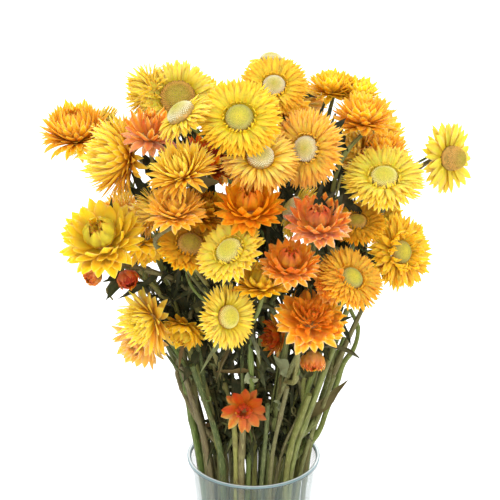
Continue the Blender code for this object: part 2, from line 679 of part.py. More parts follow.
def tube(points, widths, rounding, collection):
    """A tube with closed ends along points. It has 4 sides, and 2 more for each step of rounding."""
    curve = bpy.data.curves.new("tube", "CURVE")
    curve.dimensions = "3D"
    curve.bevel_depth = MM / 2
    curve.bevel_resolution = rounding
    curve.use_fill_caps = True
    spline = curve.splines.new("POLY")
    spline.points.add(len(points) - 1)
    for spot, place, width in zip(spline.points, points, widths):
        spot.co = (*(np.array(place) * MM), 1.0)
        spot.radius = width
    guide = bpy.data.objects.new("tube", curve)
    collection.objects.link(guide)
    bpy.context.view_layer.update()
    graph = bpy.context.evaluated_depsgraph_get()
    mesh = bpy.data.meshes.new_from_object(guide.evaluated_get(graph))
    bpy.data.objects.remove(guide)
    bm = bmesh.new()
    bm.from_mesh(mesh)
    bmesh.ops.remove_doubles(bm, verts=bm.verts, dist=1e-6)
    bmesh.ops.recalc_face_normals(bm, faces=bm.faces)
    bm.to_mesh(mesh)
    bm.free()
    mesh.materials.clear()
    return mesh


def loft_leaf(leaf):
    """A leaf as a thin closed blade: four corners at each station, drawn to a point."""
    bm = bmesh.new()
    line, widths = leaf["line"], leaf["widths"]
    way = unit(line[-1] - line[0])
    across = unit(np.cross(way, [0.0, 0.0, 1.0]) + np.array([1e-6, 0.0, 0.0]))
    up = np.cross(across, way)
    corners = ((-1, -1), (1, -1), (1, 1), (-1, 1))
    stations = [
        [bm.verts.new((place + across * x * width / 2 + up * y * LEAF_THICK / 2) * MM) for x, y in corners]
        for place, width in zip(line[:-1], widths[:-1])
    ]
    tip = bm.verts.new(line[-1] * MM)
    bm.faces.new(reversed(stations[0]))
    for low, high in zip(stations, stations[1:]):
        for i in range(4):
            bm.faces.new((low[i], low[(i + 1) % 4], high[(i + 1) % 4], high[i]))
    for i in range(4):
        bm.faces.new((stations[-1][i], stations[-1][(i + 1) % 4], tip))
    bmesh.ops.recalc_face_normals(bm, faces=bm.faces)
    mesh = bpy.data.meshes.new("leaf")
    bm.to_mesh(mesh)
    bm.free()
    return mesh


def join(first, others):
    """Unites meshes with the first object, and removes them."""
    if not others:
        return
    workshop = bpy.data.collections.new("workshop")
    bpy.context.scene.collection.children.link(workshop)
    for mesh in others:
        new_object("piece", mesh, workshop)
    union = first.modifiers.new("join", "BOOLEAN")
    union.operation = "UNION"
    union.operand_type = "COLLECTION"
    union.collection = workshop
    union.solver = "EXACT"
    bpy.context.view_layer.update()
    graph = bpy.context.evaluated_depsgraph_get()
    united = bpy.data.meshes.new_from_object(first.evaluated_get(graph))
    first.modifiers.clear()
    first.data = united
    for thing in list(workshop.objects):
        bpy.data.objects.remove(thing)
    bpy.data.collections.remove(workshop)


def fill_pockets(mesh):
    """Drops the skins of pockets that a union seals between crossing stems, and keeps the outer one."""
    bm = bmesh.new()
    bm.from_mesh(mesh)
    skins, left = [], set(bm.verts)
    while left:
        skin, edge = set(), [left.pop()]
        while edge:
            vert = edge.pop()
            skin.add(vert)
            near = {e.other_vert(vert) for e in vert.link_edges} & left
            left -= near
            edge.extend(near)
        skins.append(skin)
    skins.sort(key=len)
    bmesh.ops.delete(bm, geom=[vert for skin in skins[:-1] for vert in skin], context="VERTS")
    bm.to_mesh(mesh)
    bm.free()


def make_vase(collection, glass):
    """The vase: a closed profile from the middle of the floor, over the rim and down the outside, turned."""
    levels = VASE_HEIGHT - SHOULDER_DROP * np.array([0.0, 0.3, 0.65, 1.0])
    inner = [(0.0, FLOOR), (inner_radius(FLOOR) - HEEL, FLOOR), (inner_radius(FLOOR), FLOOR + HEEL)]
    inner += [(inner_radius(z), z) for z in levels[:0:-1]]
    inner += [(inner_radius(VASE_HEIGHT) + 0.3, VASE_HEIGHT - 1.0)]
    rim = [(RIM_RADIUS - WALL / 2, VASE_HEIGHT)]
    outer = [(RIM_RADIUS - 0.2, VASE_HEIGHT - 1.0)] + [(outer_radius(z), z) for z in levels[1:]]
    foot = [(BODY_RADIUS, HEEL), (BODY_RADIUS - HEEL * 0.3, HEEL * 0.3)]
    foot += [(BODY_RADIUS - HEEL, 0.0), (0.0, 0.0)]
    profile = inner + rim + outer + foot
    mesh = bpy.data.meshes.new("vase")
    edges = [(i, i + 1) for i in range(len(profile) - 1)]
    mesh.from_pydata([(r * MM, 0.0, z * MM) for r, z in profile], edges, [])
    vase = new_object("vase", mesh, collection, glass)
    turned = vase.modifiers.new("turned", "SCREW")
    turned.steps = turned.render_steps = VASE_SIDES
    turned.use_merge_vertices = True
    turned.merge_threshold = 0.00005
    turned.use_smooth_shade = True


def make_heads(heads, collection, paints):
    draw = np.random.default_rng(SEED)
    for name in dict.fromkeys(head["node"] for head in heads):
        mine = [head for head in heads if head["node"] == name]
        meshes = [loft_head(head, draw) for head in mine]
        first = new_object(name, meshes[0], collection, paints[mine[0]["colour"]], paints["eye"])
        join(first, meshes[1:])


def make_shoots(web, leaves, collection, green):
    points = np.array(web.points)
    for number, shoot in enumerate(sorted({line["shoot"] for line in web.lines}), start=1):
        meshes = []
        for line in (line for line in web.lines if line["shoot"] == shoot):
            widths = np.linspace(*line["thick"], len(line["points"]))
            rounding = 1 if line["thick"][0] >= STEM_THICK else 0
            meshes.append(tube(points[line["points"]], widths, rounding, collection))
        meshes += [loft_leaf(leaf) for leaf in leaves if leaf["shoot"] == shoot]
        first = new_object(f"leafy_stem_{number:02d}", meshes[0], collection, green)
        join(first, meshes[1:])
        fill_pockets(first.data)


def main():
    for thing in list(bpy.data.objects):
        bpy.data.objects.remove(thing)
    bunch = bpy.data.collections.new("dried_strawflowers")
    bpy.context.scene.collection.children.link(bunch)
    paints = {name: paint(name, colour) for name, colour in PAINT.items()}
    heads = all_heads()
    part_heads(heads)
    web = grow_stems(heads)
    part_stems(web, heads)
    leaves = place_leaves(web, heads)
    make_vase(bunch, paints["glass"])
    make_heads(heads, bunch, paints)
    make_shoots(web, leaves, bunch, paints["stem"])


main()
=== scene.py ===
import math

import bpy
import numpy as np
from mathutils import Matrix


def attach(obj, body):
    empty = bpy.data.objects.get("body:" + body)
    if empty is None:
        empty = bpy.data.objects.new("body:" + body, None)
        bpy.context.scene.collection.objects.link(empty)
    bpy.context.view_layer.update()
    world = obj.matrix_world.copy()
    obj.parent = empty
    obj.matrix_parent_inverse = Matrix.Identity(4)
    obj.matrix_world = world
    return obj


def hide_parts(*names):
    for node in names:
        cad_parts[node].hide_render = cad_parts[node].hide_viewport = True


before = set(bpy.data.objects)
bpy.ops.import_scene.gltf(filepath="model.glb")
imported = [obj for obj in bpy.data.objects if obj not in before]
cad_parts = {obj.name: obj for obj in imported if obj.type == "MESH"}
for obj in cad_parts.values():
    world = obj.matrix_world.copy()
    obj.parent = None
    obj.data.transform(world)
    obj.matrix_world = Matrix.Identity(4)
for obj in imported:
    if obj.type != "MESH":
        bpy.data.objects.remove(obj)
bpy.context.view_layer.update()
mm = 0.001  # the layout below is in millimetres, as the solids are
tiny = 1e-9
nudge = 1e-6  # added to vectors that may have no length before they are made unit vectors
print("frame loaded:", len(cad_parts), "nodes")

# The camera stands at the picture's eye and looks down on the rim.
eye = dict(
    place=np.array([-2.2, -955.5, 770]), drop=math.radians(23.1), focalPixels=1754,
    picture=500, sensor=36,
)
middle = eye["picture"] / 2
across = np.array([1, 0, 0])
upright = np.array([0, math.sin(eye["drop"]), math.cos(eye["drop"])])
towards = np.array([0, -math.cos(eye["drop"]), math.sin(eye["drop"])])

camera = bpy.data.objects.new("camera", bpy.data.cameras.new("camera"))
camera.location = eye["place"] * mm
camera.rotation_euler = (math.pi / 2 - eye["drop"], 0, 0)
camera.data.sensor_width = eye["sensor"]
camera.data.lens = eye["focalPixels"] / eye["picture"] * eye["sensor"]
bpy.context.scene.collection.objects.link(camera)
bpy.context.scene.camera = camera

# Where everything stands. These repeat the solids' own layout, so that each piece lands on its node.
crown = dict(centre=np.array([-7, 0, 397]), radii=np.array([103, 92, 82]), upturn=0.35)
gap = 0.35  # left between a stem and what it ends at
parting = dict(
    watch=26, steps=160, margin=1.5, sideways=0.5, homing=0.08, homingSteps=112,
    press=0.5, pull=0.4, stemSteps=150, stemMargin=1.1, stemStride=3,
)
vaseShape = dict(
    height=225, rim=41.5, body=33, shoulder=120, flare=1.6, wall=2.6, floor=12,
    heel=4, sides=96,
)
rimHeight = vaseShape["height"]
stemShape = dict(
    shoots=8, stems=22, shootRing=21, stemRing=32, lowest=math.radians(135),
    shoot=5.2, stem=4.6, twig=3, neck=2.2, neckLength=4, foot=8,
    forks=(44, 53, 62, 71), lean=0.25, spread=4.6, rise=9, aboveRim=6, fan=0.18,
    pull=(0.9, 0.5), twigDrop=45, twist=math.radians(25),
)
leafShape = dict(
    count=32, top=335, lengths=(8, 15), widths=(4, 7), climb=(0.2, 1), hang=(0.4, 1.3),
    seed=7, stations=np.array([0, 0.35, 0.7, 1]), outline=np.array([0.45, 1, 0.72, 0]),
)
goldenTurn = math.pi * (3 - math.sqrt(5))

# Heads that the picture shows: node, column, row, lift towards the eye, width, turn from the eye, clock
# angle of that turn, form, slot, look and palette, then the disc of an open one.
seenHeads = """
bloom_far_left 77 136 8 41 60 98 double apricot ball amber
bloom_left_side 123 157 -2 48 70 175 double golden fringed flame
bloom_brown_eye 178 97 0 43 16 95 open lemon eyeDaisy lemon brown
bloom_brown_eye 149 93 -12 32 68 168 double lemon shaggy lemon
bloom_cream_dome 185 119 24 34 66 128 open lemon spent lemon cream
bloom_coral_left 154 139 16 32 52 82 cup coral pointed rose
bloom_spiky 178 168 12 38 54 112 double lemon shaggy flame
bloom_big_yellow 238 120 22 45 20 95 open golden daisy sunny green
bloom_top_amber 274 88 2 38 26 95 open amber daisy honey cream
bloom_crest 271 61 -26 28 78 88 open lemon spent lemon cream
bloom_top_right 330 87 -8 31 70 92 double amber brush honey
bloom_top_right 359 96 -14 30 70 72 double amber brush sunny
bloom_right_apricot 364 118 8 37 64 88 double apricot brush amber
bloom_pale_eye 307 148 12 43 26 175 open amber daisy apricot cream
bloom_weeping 260 159 2 41 32 85 open lemon quills straw cream
bloom_right_peach 384 151 -16 32 62 75 cup amber brush amber
bloom_right_lemon 384 179 10 45 40 92 open lemon daisy lemon lime
bloom_right_peach 355 151 -24 29 75 150 double amber brush straw
bloom_far_right 449 158 0 40 46 352 open lemon flared lemon tan
bloom_deep_orange 250 207 6 38 44 92 cup orange goblet orange
bloom_coral_middle 317 222 16 35 42 88 cup coral goblet rose
bloom_shaded_eye 357 223 -12 32 42 88 open golden daisy bronze brown
bloom_right_golden 400 252 6 43 34 5 open amber curled honey green
bloom_orange_fringe 351 279 14 38 40 48 open amber daisy amber green
bloom_orange_fringe 331 283 4 26 60 205 double amber ragged ember
bloom_coral_low 290 265 8 33 46 88 cup coral goblet coral
bloom_left_lemon 231 249 16 38 42 130 open lemon broadDaisy lemon lime
bloom_under_gold 262 283 -6 32 60 92 cup golden goblet honey
bloom_big_orange 311 320 16 40 34 78 double orange ragged ember
bloom_low_lemon 227 317 14 37 38 5 open lemon fineDaisy lemon lime
bloom_low_left 150 319 10 40 58 205 double lemon tuft tuft
bloom_low_peach 140 341 -12 37 58 232 double apricot petals peach
bloom_left_goblet 104 239 14 47 32 112 cup golden goblet gold
bloom_mid_apricot 175 210 15 33 56 95 double apricot brush apricot
bloom_pale_behind 151 212 -10 30 70 160 double lemon shaggy straw
bloom_scalloped 190 245 -8 36 36 75 open golden broadDaisy bronze brown
bloom_ochre 204 211 -18 32 60 60 double amber brush bronze
bud_peach 95 273 -8 14 60 220 bud coral bud coral
bud_dark 126 275 -6 14 60 300 bud red bud red
bloom_tan 145 249 -18 29 75 280 double apricot petals honey
bloom_red_behind 212 160 -12 37 60 60 cup red goblet red
bloom_dark_coral 277 337 -16 27 70 180 cup coral petals red
bud_low_coral 313 357 -8 16 70 270 bud coral bud coral
bloom_cream_side 295 210 -14 32 72 152 open lemon spent lemon cream
bloom_low_gold 184 330 -12 27 60 250 cup golden goblet honey
bloom_side_orange 289 112 -18 34 62 20 double orange brush amber
"""
# Low in front of the stems. In place of the lift it has how far out it hangs.
lowRed = "bloom_small_red 244 409 42 26 15 270 cup red star red"
# The far side: node, compass angle, angle down from the top, width, form, slot, look, palette, disc.
backHeads = """
bloom_back_top_left 126 52 40 open golden daisy sunny green
bloom_back_top_left 100 72 34 double golden brush honey
bloom_back_top_right 68 66 36 open orange daisy apricot cream
bloom_back_left 158 70 42 open lemon broadDaisy lemon cream
bloom_back_left 138 84 38 cup lemon goblet sunny
bloom_back_right 34 74 36 cup amber goblet amber
bloom_back_right_side 46 88 40 open lemon fineDaisy lemon tan
bloom_back_middle 100 94 44 open coral daisy amber green
bloom_back_middle 80 104 38 cup coral goblet coral
bloom_back_low_left 142 116 38 double apricot shaggy apricot
bloom_back_low_right 26 112 38 open golden daisy honey brown
"""

# The solids' forms, which the layout keeps apart: rings of bract tips and the base as (radius, height), and
# the core's ball as (height, radius), in half-widths of the head.
forms = {
    "open": dict(inner=(0.8, 0.2), outer=(1, 0.02), base=(0.13, -0.27), core=(-0.04, 0.36)),
    "cup": dict(inner=(0.74, 0.54), outer=(1, 0.22), base=(0.14, -0.22), core=(0.14, 0.48)),
    "double": dict(inner=(0.76, 0.58), outer=(1, 0.18), base=(0.13, -0.24), core=(0.16, 0.48)),
    "bud": dict(inner=(0.92, 0.86), outer=(1, 0.4), base=(0.28, -0.42), core=(0.34, 0.9)),
}
# Balls that stand for a head's bracts: ring, count, shares of the ring's radius and height, size.
ballRings = [
    ("outer", 14, 0.96, 0.96, 0.08), ("outer", 10, 0.8, 0.7, 0.16),
    ("outer", 8, 0.56, 0.5, 0.2), ("inner", 8, 0.88, 0.88, 0.12),
]


# The rows of a text table, with its numbers as numbers.
def rowsOf(table):
    rows = [row.split() for row in table.strip().splitlines()]
    return [[float(word) if word[-1].isdigit() else word for word in row] for row in rows]


def lengths(vectors):
    return np.linalg.norm(vectors, axis=-1)


def unit(vector):
    return vector / np.linalg.norm(vector, axis=-1, keepdims=True)


def evenAngles(count):
    return np.arange(count) * 2 * math.pi / count


# Direction from the eye through a pixel.
def sightLine(column, row):
    return unit(-towards + across * (column - middle) / eye["focalPixels"]
                + upright * (middle - row) / eye["focalPixels"])


# Where a sight line meets the crown's near side, or passes closest, moved by lift towards the eye.
def onCrown(column, row, lift):
    line = sightLine(column, row)
    start = (eye["place"] - crown["centre"]) / crown["radii"]
    step = line / crown["radii"]
    closest = -start @ step / (step @ step)
    miss = start + closest * step
    reach = closest - math.sqrt(max(1 - miss @ miss, 0) / (step @ step))
    return eye["place"] + line * (reach - lift)


# The way a head faces: turned away from the eye, towards a clock angle.
def facingOf(turn, clock):
    turn, clock = math.radians(turn), math.radians(clock)
    sideways = across * math.cos(clock) + upright * math.sin(clock)
    return towards * math.cos(turn) + sideways * math.sin(turn)


def headAt(node, place, facing, width, form, slot, look, palette, disc=None):
    return dict(
        node=node, place=place, facing=unit(facing), radius=width / 2,
        form=form, slot=slot, look=look, palette=palette, disc=disc,
    )


def allHeads():
    heads = []
    for node, column, row, lift, width, turn, clock, *kind in rowsOf(seenHeads):
        heads.append(headAt(node, onCrown(column, row, lift), facingOf(turn, clock), width, *kind))
    node, column, row, out, width, turn, clock, *kind = rowsOf(lowRed)[0]
    line = sightLine(column, row)
    place = eye["place"] + line * (-out - eye["place"][1]) / line[1]
    heads.append(headAt(node, place, facingOf(turn, clock), width, *kind))
    for node, compass, down, width, *kind in rowsOf(backHeads):
        compass, down = math.radians(compass), math.radians(down)
        flat = math.sin(down)
        way = np.array([math.cos(compass) * flat, math.sin(compass) * flat, math.cos(down)])
        facing = unit(way / crown["radii"]) + np.array([0, 0, crown["upturn"]])
        heads.append(headAt(node, crown["centre"] + way * crown["radii"], facing, width, *kind))
    return heads


# Unit vectors out from a head's axis at the turns, and the axis.
def spokes(head, turns):
    facing = head["facing"]
    side = unit(np.cross([0, 0, 1], facing) + np.array([nudge, 0, 0]))
    return np.outer(np.cos(turns), side) + np.outer(np.sin(turns), np.cross(facing, side)), facing


# Centres and radii of the balls that fill a head.
def ballsOf(head):
    form, place, half = forms[head["form"]], head["place"], head["radius"]
    height, size = form["core"]
    centres, sizes = [(place + half * head["facing"] * height)[None]], [[size * half]]
    for ring, count, out, up, size in ballRings:
        radius, height = form[ring]
        around, facing = spokes(head, evenAngles(count))
        centres.append(place + half * (around * (out * radius) + facing * (up * height)))
        sizes.append(np.full(count, size * half))
    return np.concatenate(centres), np.concatenate(sizes)


def allBalls(heads):
    balls = [ballsOf(head) for head in heads]
    owner = np.repeat(np.arange(len(heads)), [len(sizes) for _, sizes in balls])
    return np.concatenate([b[0] for b in balls]), np.concatenate([b[1] for b in balls]), owner


# Numbers of the allowed pairs of balls that are close enough to watch.
def nearPairs(centres, sizes, allowed):
    apart = lengths(centres[:, None, :] - centres[None, :, :])
    apart -= sizes[:, None] + sizes[None, :]
    return np.nonzero(np.triu(allowed & (apart < parting["watch"]), 1))


# Moves heads of different nodes apart, mostly along the line of sight, until their balls are clear. Heads
# of one node are drawn together until they press into each other.
def partHeads(heads):
    places = np.array([head["place"] for head in heads])
    home = places.copy()
    centres, sizes, owner = allBalls(heads)
    offsets = centres - places[owner]
    names = [head["node"] for head in heads]
    node = np.array([names.index(name) for name in names])
    a, b = nearPairs(centres, sizes, node[owner][:, None] != node[owner][None, :])
    mates = [(i, j) for i in range(len(heads)) for j in range(i) if node[i] == node[j]]
    for step in range(parting["steps"]):
        centres = places[owner] + offsets
        apart = centres[a] - centres[b]
        distance = lengths(apart) + tiny
        overlap = np.maximum(sizes[a] + sizes[b] + parting["margin"] - distance, 0)
        push = apart / distance[:, None] * overlap[:, None]
        move, touching = np.zeros_like(places), np.zeros(len(places))
        for ends, sign in ((a, 1), (b, -1)):
            np.add.at(move, owner[ends], sign * push)
            np.add.at(touching, owner[ends], overlap > 0)
        move *= 0.5 / np.maximum(touching, 1)[:, None]
        for i, j in mates:
            between = places[j] - places[i]
            reach = parting["press"] * (heads[i]["radius"] + heads[j]["radius"])
            pull = parting["pull"] * between * max(1 - reach / np.linalg.norm(between), 0)
            move[i] += pull
            move[j] -= pull
        if step < parting["homingSteps"]:
            stray = places - home
            move -= parting["homing"] * (stray - np.outer(stray @ towards, towards))
        along = np.outer(move @ towards, towards)
        places += along + parting["sideways"] * (move - along)
    for head, place in zip(heads, places):
        head["place"] = place


# Points spread evenly over a disc, as seeds are in a sunflower.
def sunflower(count, ring):
    i = np.arange(count)
    radius = ring * np.sqrt((i + 0.5) / count)
    return np.stack([radius * np.cos(i * goldenTurn), radius * np.sin(i * goldenTurn)], axis=1)


# Where a head's stem crosses the rim: high heads come up the middle, low ones round the outside.
def neckPoint(head):
    way = (head["place"] - crown["centre"]) / crown["radii"]
    way = way / np.linalg.norm(way)
    share = math.sqrt(min((1 - way[2]) / (1 - math.cos(stemShape["lowest"])), 1))
    return stemShape["stemRing"] * share * way[:2] / (math.hypot(way[0], way[1]) + tiny)


def nearest(point, points):
    return int(np.argmin(lengths(points - point)))


# The vase's radius at a height: straight below the shoulder, opening as a power curve above it.
def outerRadius(z):
    share = np.clip((z - (rimHeight - vaseShape["shoulder"])) / vaseShape["shoulder"], 0, 1)
    return vaseShape["body"] + (vaseShape["rim"] - vaseShape["body"]) * share ** vaseShape["flare"]


def innerRadius(z):
    return outerRadius(z) - vaseShape["wall"]


# Points at shares t of a smooth curve that leaves start along a and reaches end along b.
def smoothCurve(start, a, end, b, t):
    return (
        (2 * t**3 - 3 * t**2 + 1) * start + (t**3 - 2 * t**2 + t) * a
        + (3 * t**2 - 2 * t**3) * end + (t**3 - t**2) * b
    )


def curveBetween(start, startWay, end, endWay, count):
    pull = np.linalg.norm(end - start)
    return smoothCurve(start, startWay * pull, end, endWay * pull, np.linspace(0, 1, count)[:, None])


# All stems as one web of points: each line is a list of point numbers, and belongs to a shoot.
class Web:
    def __init__(self):
        self.points, self.thick, self.fixed, self.lines = [], [], [], []

    def addLine(self, shoot, places, thick, root=None, head=None):
        last = len(places) - 1
        line = []
        for i, (place, width) in enumerate(zip(places, np.linspace(*thick, len(places)))):
            if i == 0 and root is not None:
                line.append(root)
                continue
            line.append(len(self.points))
            self.points.append(np.array(place, float))
            self.thick.append(width)
            self.fixed.append(i == 0 or (head is not None and i >= last - 1))
        self.lines.append(dict(shoot=shoot, points=line, thick=thick, head=head))
        return line


# The end of a stem at the flat spot under its head, and where it starts to follow the head's axis.
def stemEnd(head):
    base = head["place"] + head["facing"] * head["radius"] * forms[head["form"]]["base"][1]
    end = base - head["facing"] * gap
    return end, end - head["facing"] * stemShape["neckLength"]


# The web of stems: shoots from the floor, stems through the rim, and the end of one at each head.
def growStems(heads):
    web = Web()
    feet = sunflower(stemShape["shoots"], stemShape["shootRing"])
    c, s = math.cos(stemShape["twist"]), math.sin(stemShape["twist"])
    turn = np.array([[c, -s], [s, c]])
    necks = sunflower(stemShape["stems"], stemShape["stemRing"])
    carried, shoots = {}, {}
    for head in heads:
        carried.setdefault(nearest(neckPoint(head), necks), []).append(head)
    for neck in carried:
        foot = necks[neck] * stemShape["shootRing"] / stemShape["stemRing"] @ turn
        shoots.setdefault(nearest(foot, feet), []).append(neck)
    for shoot, mine in sorted(shoots.items()):
        growShoot(web, shoot, feet[shoot], [(necks[n], carried[n]) for n in sorted(mine)])
    return web


# One shoot: a foot on the floor, and stems that fork from it inside the vase.
def growShoot(web, shoot, foot, stems):
    centre = np.mean([neck for neck, _ in stems], axis=0)
    forks, floor = stemShape["forks"], vaseShape["floor"]
    fork = (*(foot + (centre - foot) * stemShape["lean"]), forks[shoot % len(forks)])
    places = [(*foot, floor + gap), (*foot, floor + stemShape["foot"]), fork]
    trunk = web.addLine(shoot, places, (stemShape["shoot"], stemShape["shoot"]))
    web.fixed[trunk[1]] = True
    for neck, heads in stems:
        spread = np.array([*(neck - centre), 0])
        spread = unit(spread) * stemShape["spread"] if len(stems) > 1 else spread
        growStem(web, shoot, trunk[-1], spread + np.array([0, 0, stemShape["rise"]]), neck, heads)


# A stem from a shoot's fork through the rim to its highest head, with a twig to each of the others.
def growStem(web, shoot, root, elbow, neck, heads):
    first, *others = sorted(heads, key=lambda head: -head["place"][2])
    start, (pull, slack) = web.points[root], stemShape["pull"]
    rim = np.array([*neck, rimHeight + stemShape["aboveRim"]])
    rising = unit(np.array([*(neck / stemShape["stemRing"] * stemShape["fan"]), 1]))
    low = [start, start + elbow, start + elbow + (rim - start - elbow) * 0.5]
    end, last = stemEnd(first)
    high = curveBetween(rim, rising * pull, last, first["facing"] * slack, 5)
    stem = web.addLine(shoot, [*low, *high, end], (stemShape["stem"], stemShape["neck"]), root, first)
    for head in others:
        end, last = stemEnd(head)
        level = min(end[2] - stemShape["twigDrop"], web.points[stem[-3]][2])
        fork = min(stem[3:-3], key=lambda p: abs(web.points[p][2] - level))
        away = web.points[fork]
        leaving = unit(last - away + np.array([0, 0, stemShape["twigDrop"]]))
        places = [*curveBetween(away, leaving * slack, last, head["facing"] * slack, 4), end]
        web.addLine(shoot, places, (stemShape["twig"], stemShape["neck"]), fork, head)


# The points of the segments that lie closest to the spots, and their shares along the segments.
def closestOnSegment(spots, low, high):
    along = high - low
    share = np.clip(((spots - low) * along).sum(-1) / (along * along).sum(-1), 0, 1)
    return low + along * share[..., None], share


# For pairs of segments, the shares along each where they come closest.
def closestOnSegments(a0, a1, b0, b1):
    u, v, w = a1 - a0, b1 - b0, a0 - b0
    uu, uv, vv, uw, vw = ((p * q).sum(-1) for p, q in ((u, u), (u, v), (v, v), (u, w), (v, w)))
    area = uu * vv - uv * uv
    s = np.clip(np.where(area > tiny, (uv * vw - vv * uw) / np.maximum(area, tiny), 0), 0, 1)
    t = np.clip((uv * s + vw) / np.maximum(vv, tiny), 0, 1)
    return np.clip((uv * t - uw) / np.maximum(uu, tiny), 0, 1), t


# Shares a move of each segment out to its two ends.
def pushEnds(push, ends, share, move):
    np.add.at(push, ends[:, 0], move * (1 - share)[:, None])
    np.add.at(push, ends[:, 1], move * share[:, None])


# Bends stems clear of each other, of the heads and of the glass. Lines meet only at their forks.
def partStems(web, heads):
    points, thick, fixed = np.array(web.points), np.array(web.thick), np.array(web.fixed)
    ends = np.array([pair for line in web.lines for pair in zip(line["points"], line["points"][1:])])
    lineOf = np.array([i for i, line in enumerate(web.lines) for _ in line["points"][1:]])
    numbers = {id(head): i for i, head in enumerate(heads)}
    headOf = np.array([numbers.get(id(line["head"]), -1) for line in web.lines])[lineOf]
    width = thick[ends].mean(axis=1)
    joined = lineOf[:, None] == lineOf[None, :]
    joined |= (ends[:, None, :, None] == ends[None, :, None, :]).any(axis=(2, 3))
    centre = points[ends].mean(axis=1)
    half = lengths(points[ends[:, 1]] - points[ends[:, 0]]) / 2
    first, second = nearPairs(centre, half, ~joined)
    places = np.array([head["place"] for head in heads])
    centres, sizes, owner = allBalls(heads)
    reach = lengths(centre[:, None, :] - centres[None, :, :]) - half[:, None] - sizes
    segment, ball = np.nonzero((headOf[:, None] != owner[None, :]) & (reach < parting["watch"]))
    for _ in range(parting["stemSteps"]):
        push = np.zeros_like(points)
        pushFromStems(push, points, ends[first], ends[second], (width[first] + width[second]) / 2)
        room = width[segment] / 2 + sizes[ball]
        pushFromHeads(push, points, ends[segment], centres[ball], places[owner[ball]], room)
        size = np.linalg.norm(push, axis=1, keepdims=True) + tiny
        points[~fixed] += (push / size * np.minimum(size, parting["stemStride"]))[~fixed]
        keepInGlass(points, thick, fixed)
    web.points = list(points)


# Adds to push what moves each pair of segments apart where they come closest.
def pushFromStems(push, points, a, b, room):
    s, t = closestOnSegments(points[a[:, 0]], points[a[:, 1]], points[b[:, 0]], points[b[:, 1]])
    onA = points[a[:, 0]] + (points[a[:, 1]] - points[a[:, 0]]) * s[:, None]
    onB = points[b[:, 0]] + (points[b[:, 1]] - points[b[:, 0]]) * t[:, None]
    distance = lengths(onA - onB) + tiny
    overlap = np.maximum(room + parting["stemMargin"] - distance, 0)
    move = (onA - onB) / distance[:, None] * overlap[:, None] * 0.5
    pushEnds(push, a, s, move)
    pushEnds(push, b, t, -move)


# Adds to push what moves segments off the balls, straight away from their heads' places.
def pushFromHeads(push, points, ends, centres, places, room):
    low, high = points[ends[:, 0]], points[ends[:, 1]]
    closest, share = closestOnSegment(centres, low, high)
    overlap = np.maximum(room + parting["stemMargin"] - lengths(closest - centres), 0)
    way = closestOnSegment(places, low, high)[0] - places
    move = way / (np.linalg.norm(way, axis=1, keepdims=True) + tiny) * overlap[:, None] * 0.5
    pushEnds(push, ends, share, move)


# Pulls stems inside the vase's wall.
def keepInGlass(points, thick, fixed):
    for i in np.nonzero((points[:, 2] < rimHeight + 2 * stemShape["aboveRim"]) & ~fixed)[0]:
        room = innerRadius(min(points[i, 2], rimHeight)) - thick[i] / 2 - parting["stemMargin"]
        flat = math.hypot(points[i, 0], points[i, 1])
        if flat > room:
            points[i, :2] *= room / flat


# A leaf at a random place on a stem: it leaves outward and droops.
def drawLeaf(draw, spans):
    shoot, start, end = spans[draw.integers(len(spans))]
    root = start + (end - start) * draw.uniform(0.1, 0.9)
    compass = draw.uniform(0, 2 * math.pi)
    outward = 0.3 * root[:2] / (lengths(root[:2]) + nudge)
    level = np.array([math.cos(compass), math.sin(compass)]) + outward
    way = unit(np.array([*level, draw.uniform(*leafShape["climb"])]))
    hang = np.array([0, 0, -draw.uniform(*leafShape["hang"])])
    stations = leafShape["stations"]
    length = draw.uniform(*leafShape["lengths"])
    line = root + length * (np.outer(stations, way) + np.outer(stations**2, hang))
    return dict(
        shoot=shoot, line=line, root=root, way=way, hang=hang, length=length,
        width=draw.uniform(*leafShape["widths"]),
    )


# Leaves at seeded places on the stems, each kept only where it is clear of all other pieces.
def placeLeaves(web, heads):
    draw = np.random.default_rng(leafShape["seed"])
    points = np.array(web.points)
    pairs = [
        (line["shoot"], a, b) for line in web.lines for a, b in zip(line["points"], line["points"][1:])
    ]
    shoots = np.array([shoot for shoot, _, _ in pairs])
    low, high = points[[a for _, a, _ in pairs]], points[[b for _, _, b in pairs]]
    bearing = [
        (shoot, points[a], points[b]) for shoot, a, b in pairs
        if rimHeight < points[a][2] < leafShape["top"] and web.thick[b] > stemShape["neck"]
    ]
    centres, sizes, _ = allBalls(heads)
    margin = parting["stemMargin"]
    leaves, taken = [], np.full((1, 3), -1000)
    while len(leaves) < leafShape["count"]:
        leaf = drawLeaf(draw, bearing)
        line, widths = leaf["line"], leaf["width"] * leafShape["outline"]
        tests = np.concatenate([line[1:], (line[1:] + line[:-1]) / 2])[:, None, :]
        rooms = np.concatenate([widths[1:], (widths[1:] + widths[:-1]) / 2]) / 2 + margin
        others = shoots != leaf["shoot"]
        onStems = closestOnSegment(tests, low[others], high[others])[0]
        fromStems = lengths(onStems - tests)
        fromHeads = lengths(tests - centres) - sizes
        if (
            (fromStems.min(axis=1) > rooms + stemShape["stem"] / 2).all()
            and (fromHeads.min(axis=1) > rooms + margin).all()
            and lengths(tests - taken).min() > leafShape["widths"][1]
            and line[:, 2].min() > rimHeight + stemShape["aboveRim"]
        ):
            leaves.append(leaf)
            taken = np.concatenate([taken, tests[:, 0]])
    return leaves


heads = allHeads()
partHeads(heads)
web = growStems(heads)
partStems(web, heads)
leaves = placeLeaves(web, heads)
headBalls = allBalls(heads)[:2]  # centres and radii
print("layout done:", len(heads), "heads,", len(web.lines), "stems and twigs,", len(leaves), "leaves")

marks = ("along", "across", "lot", "row")  # what the paints read, one number a point
tally = []  # triangles of each piece


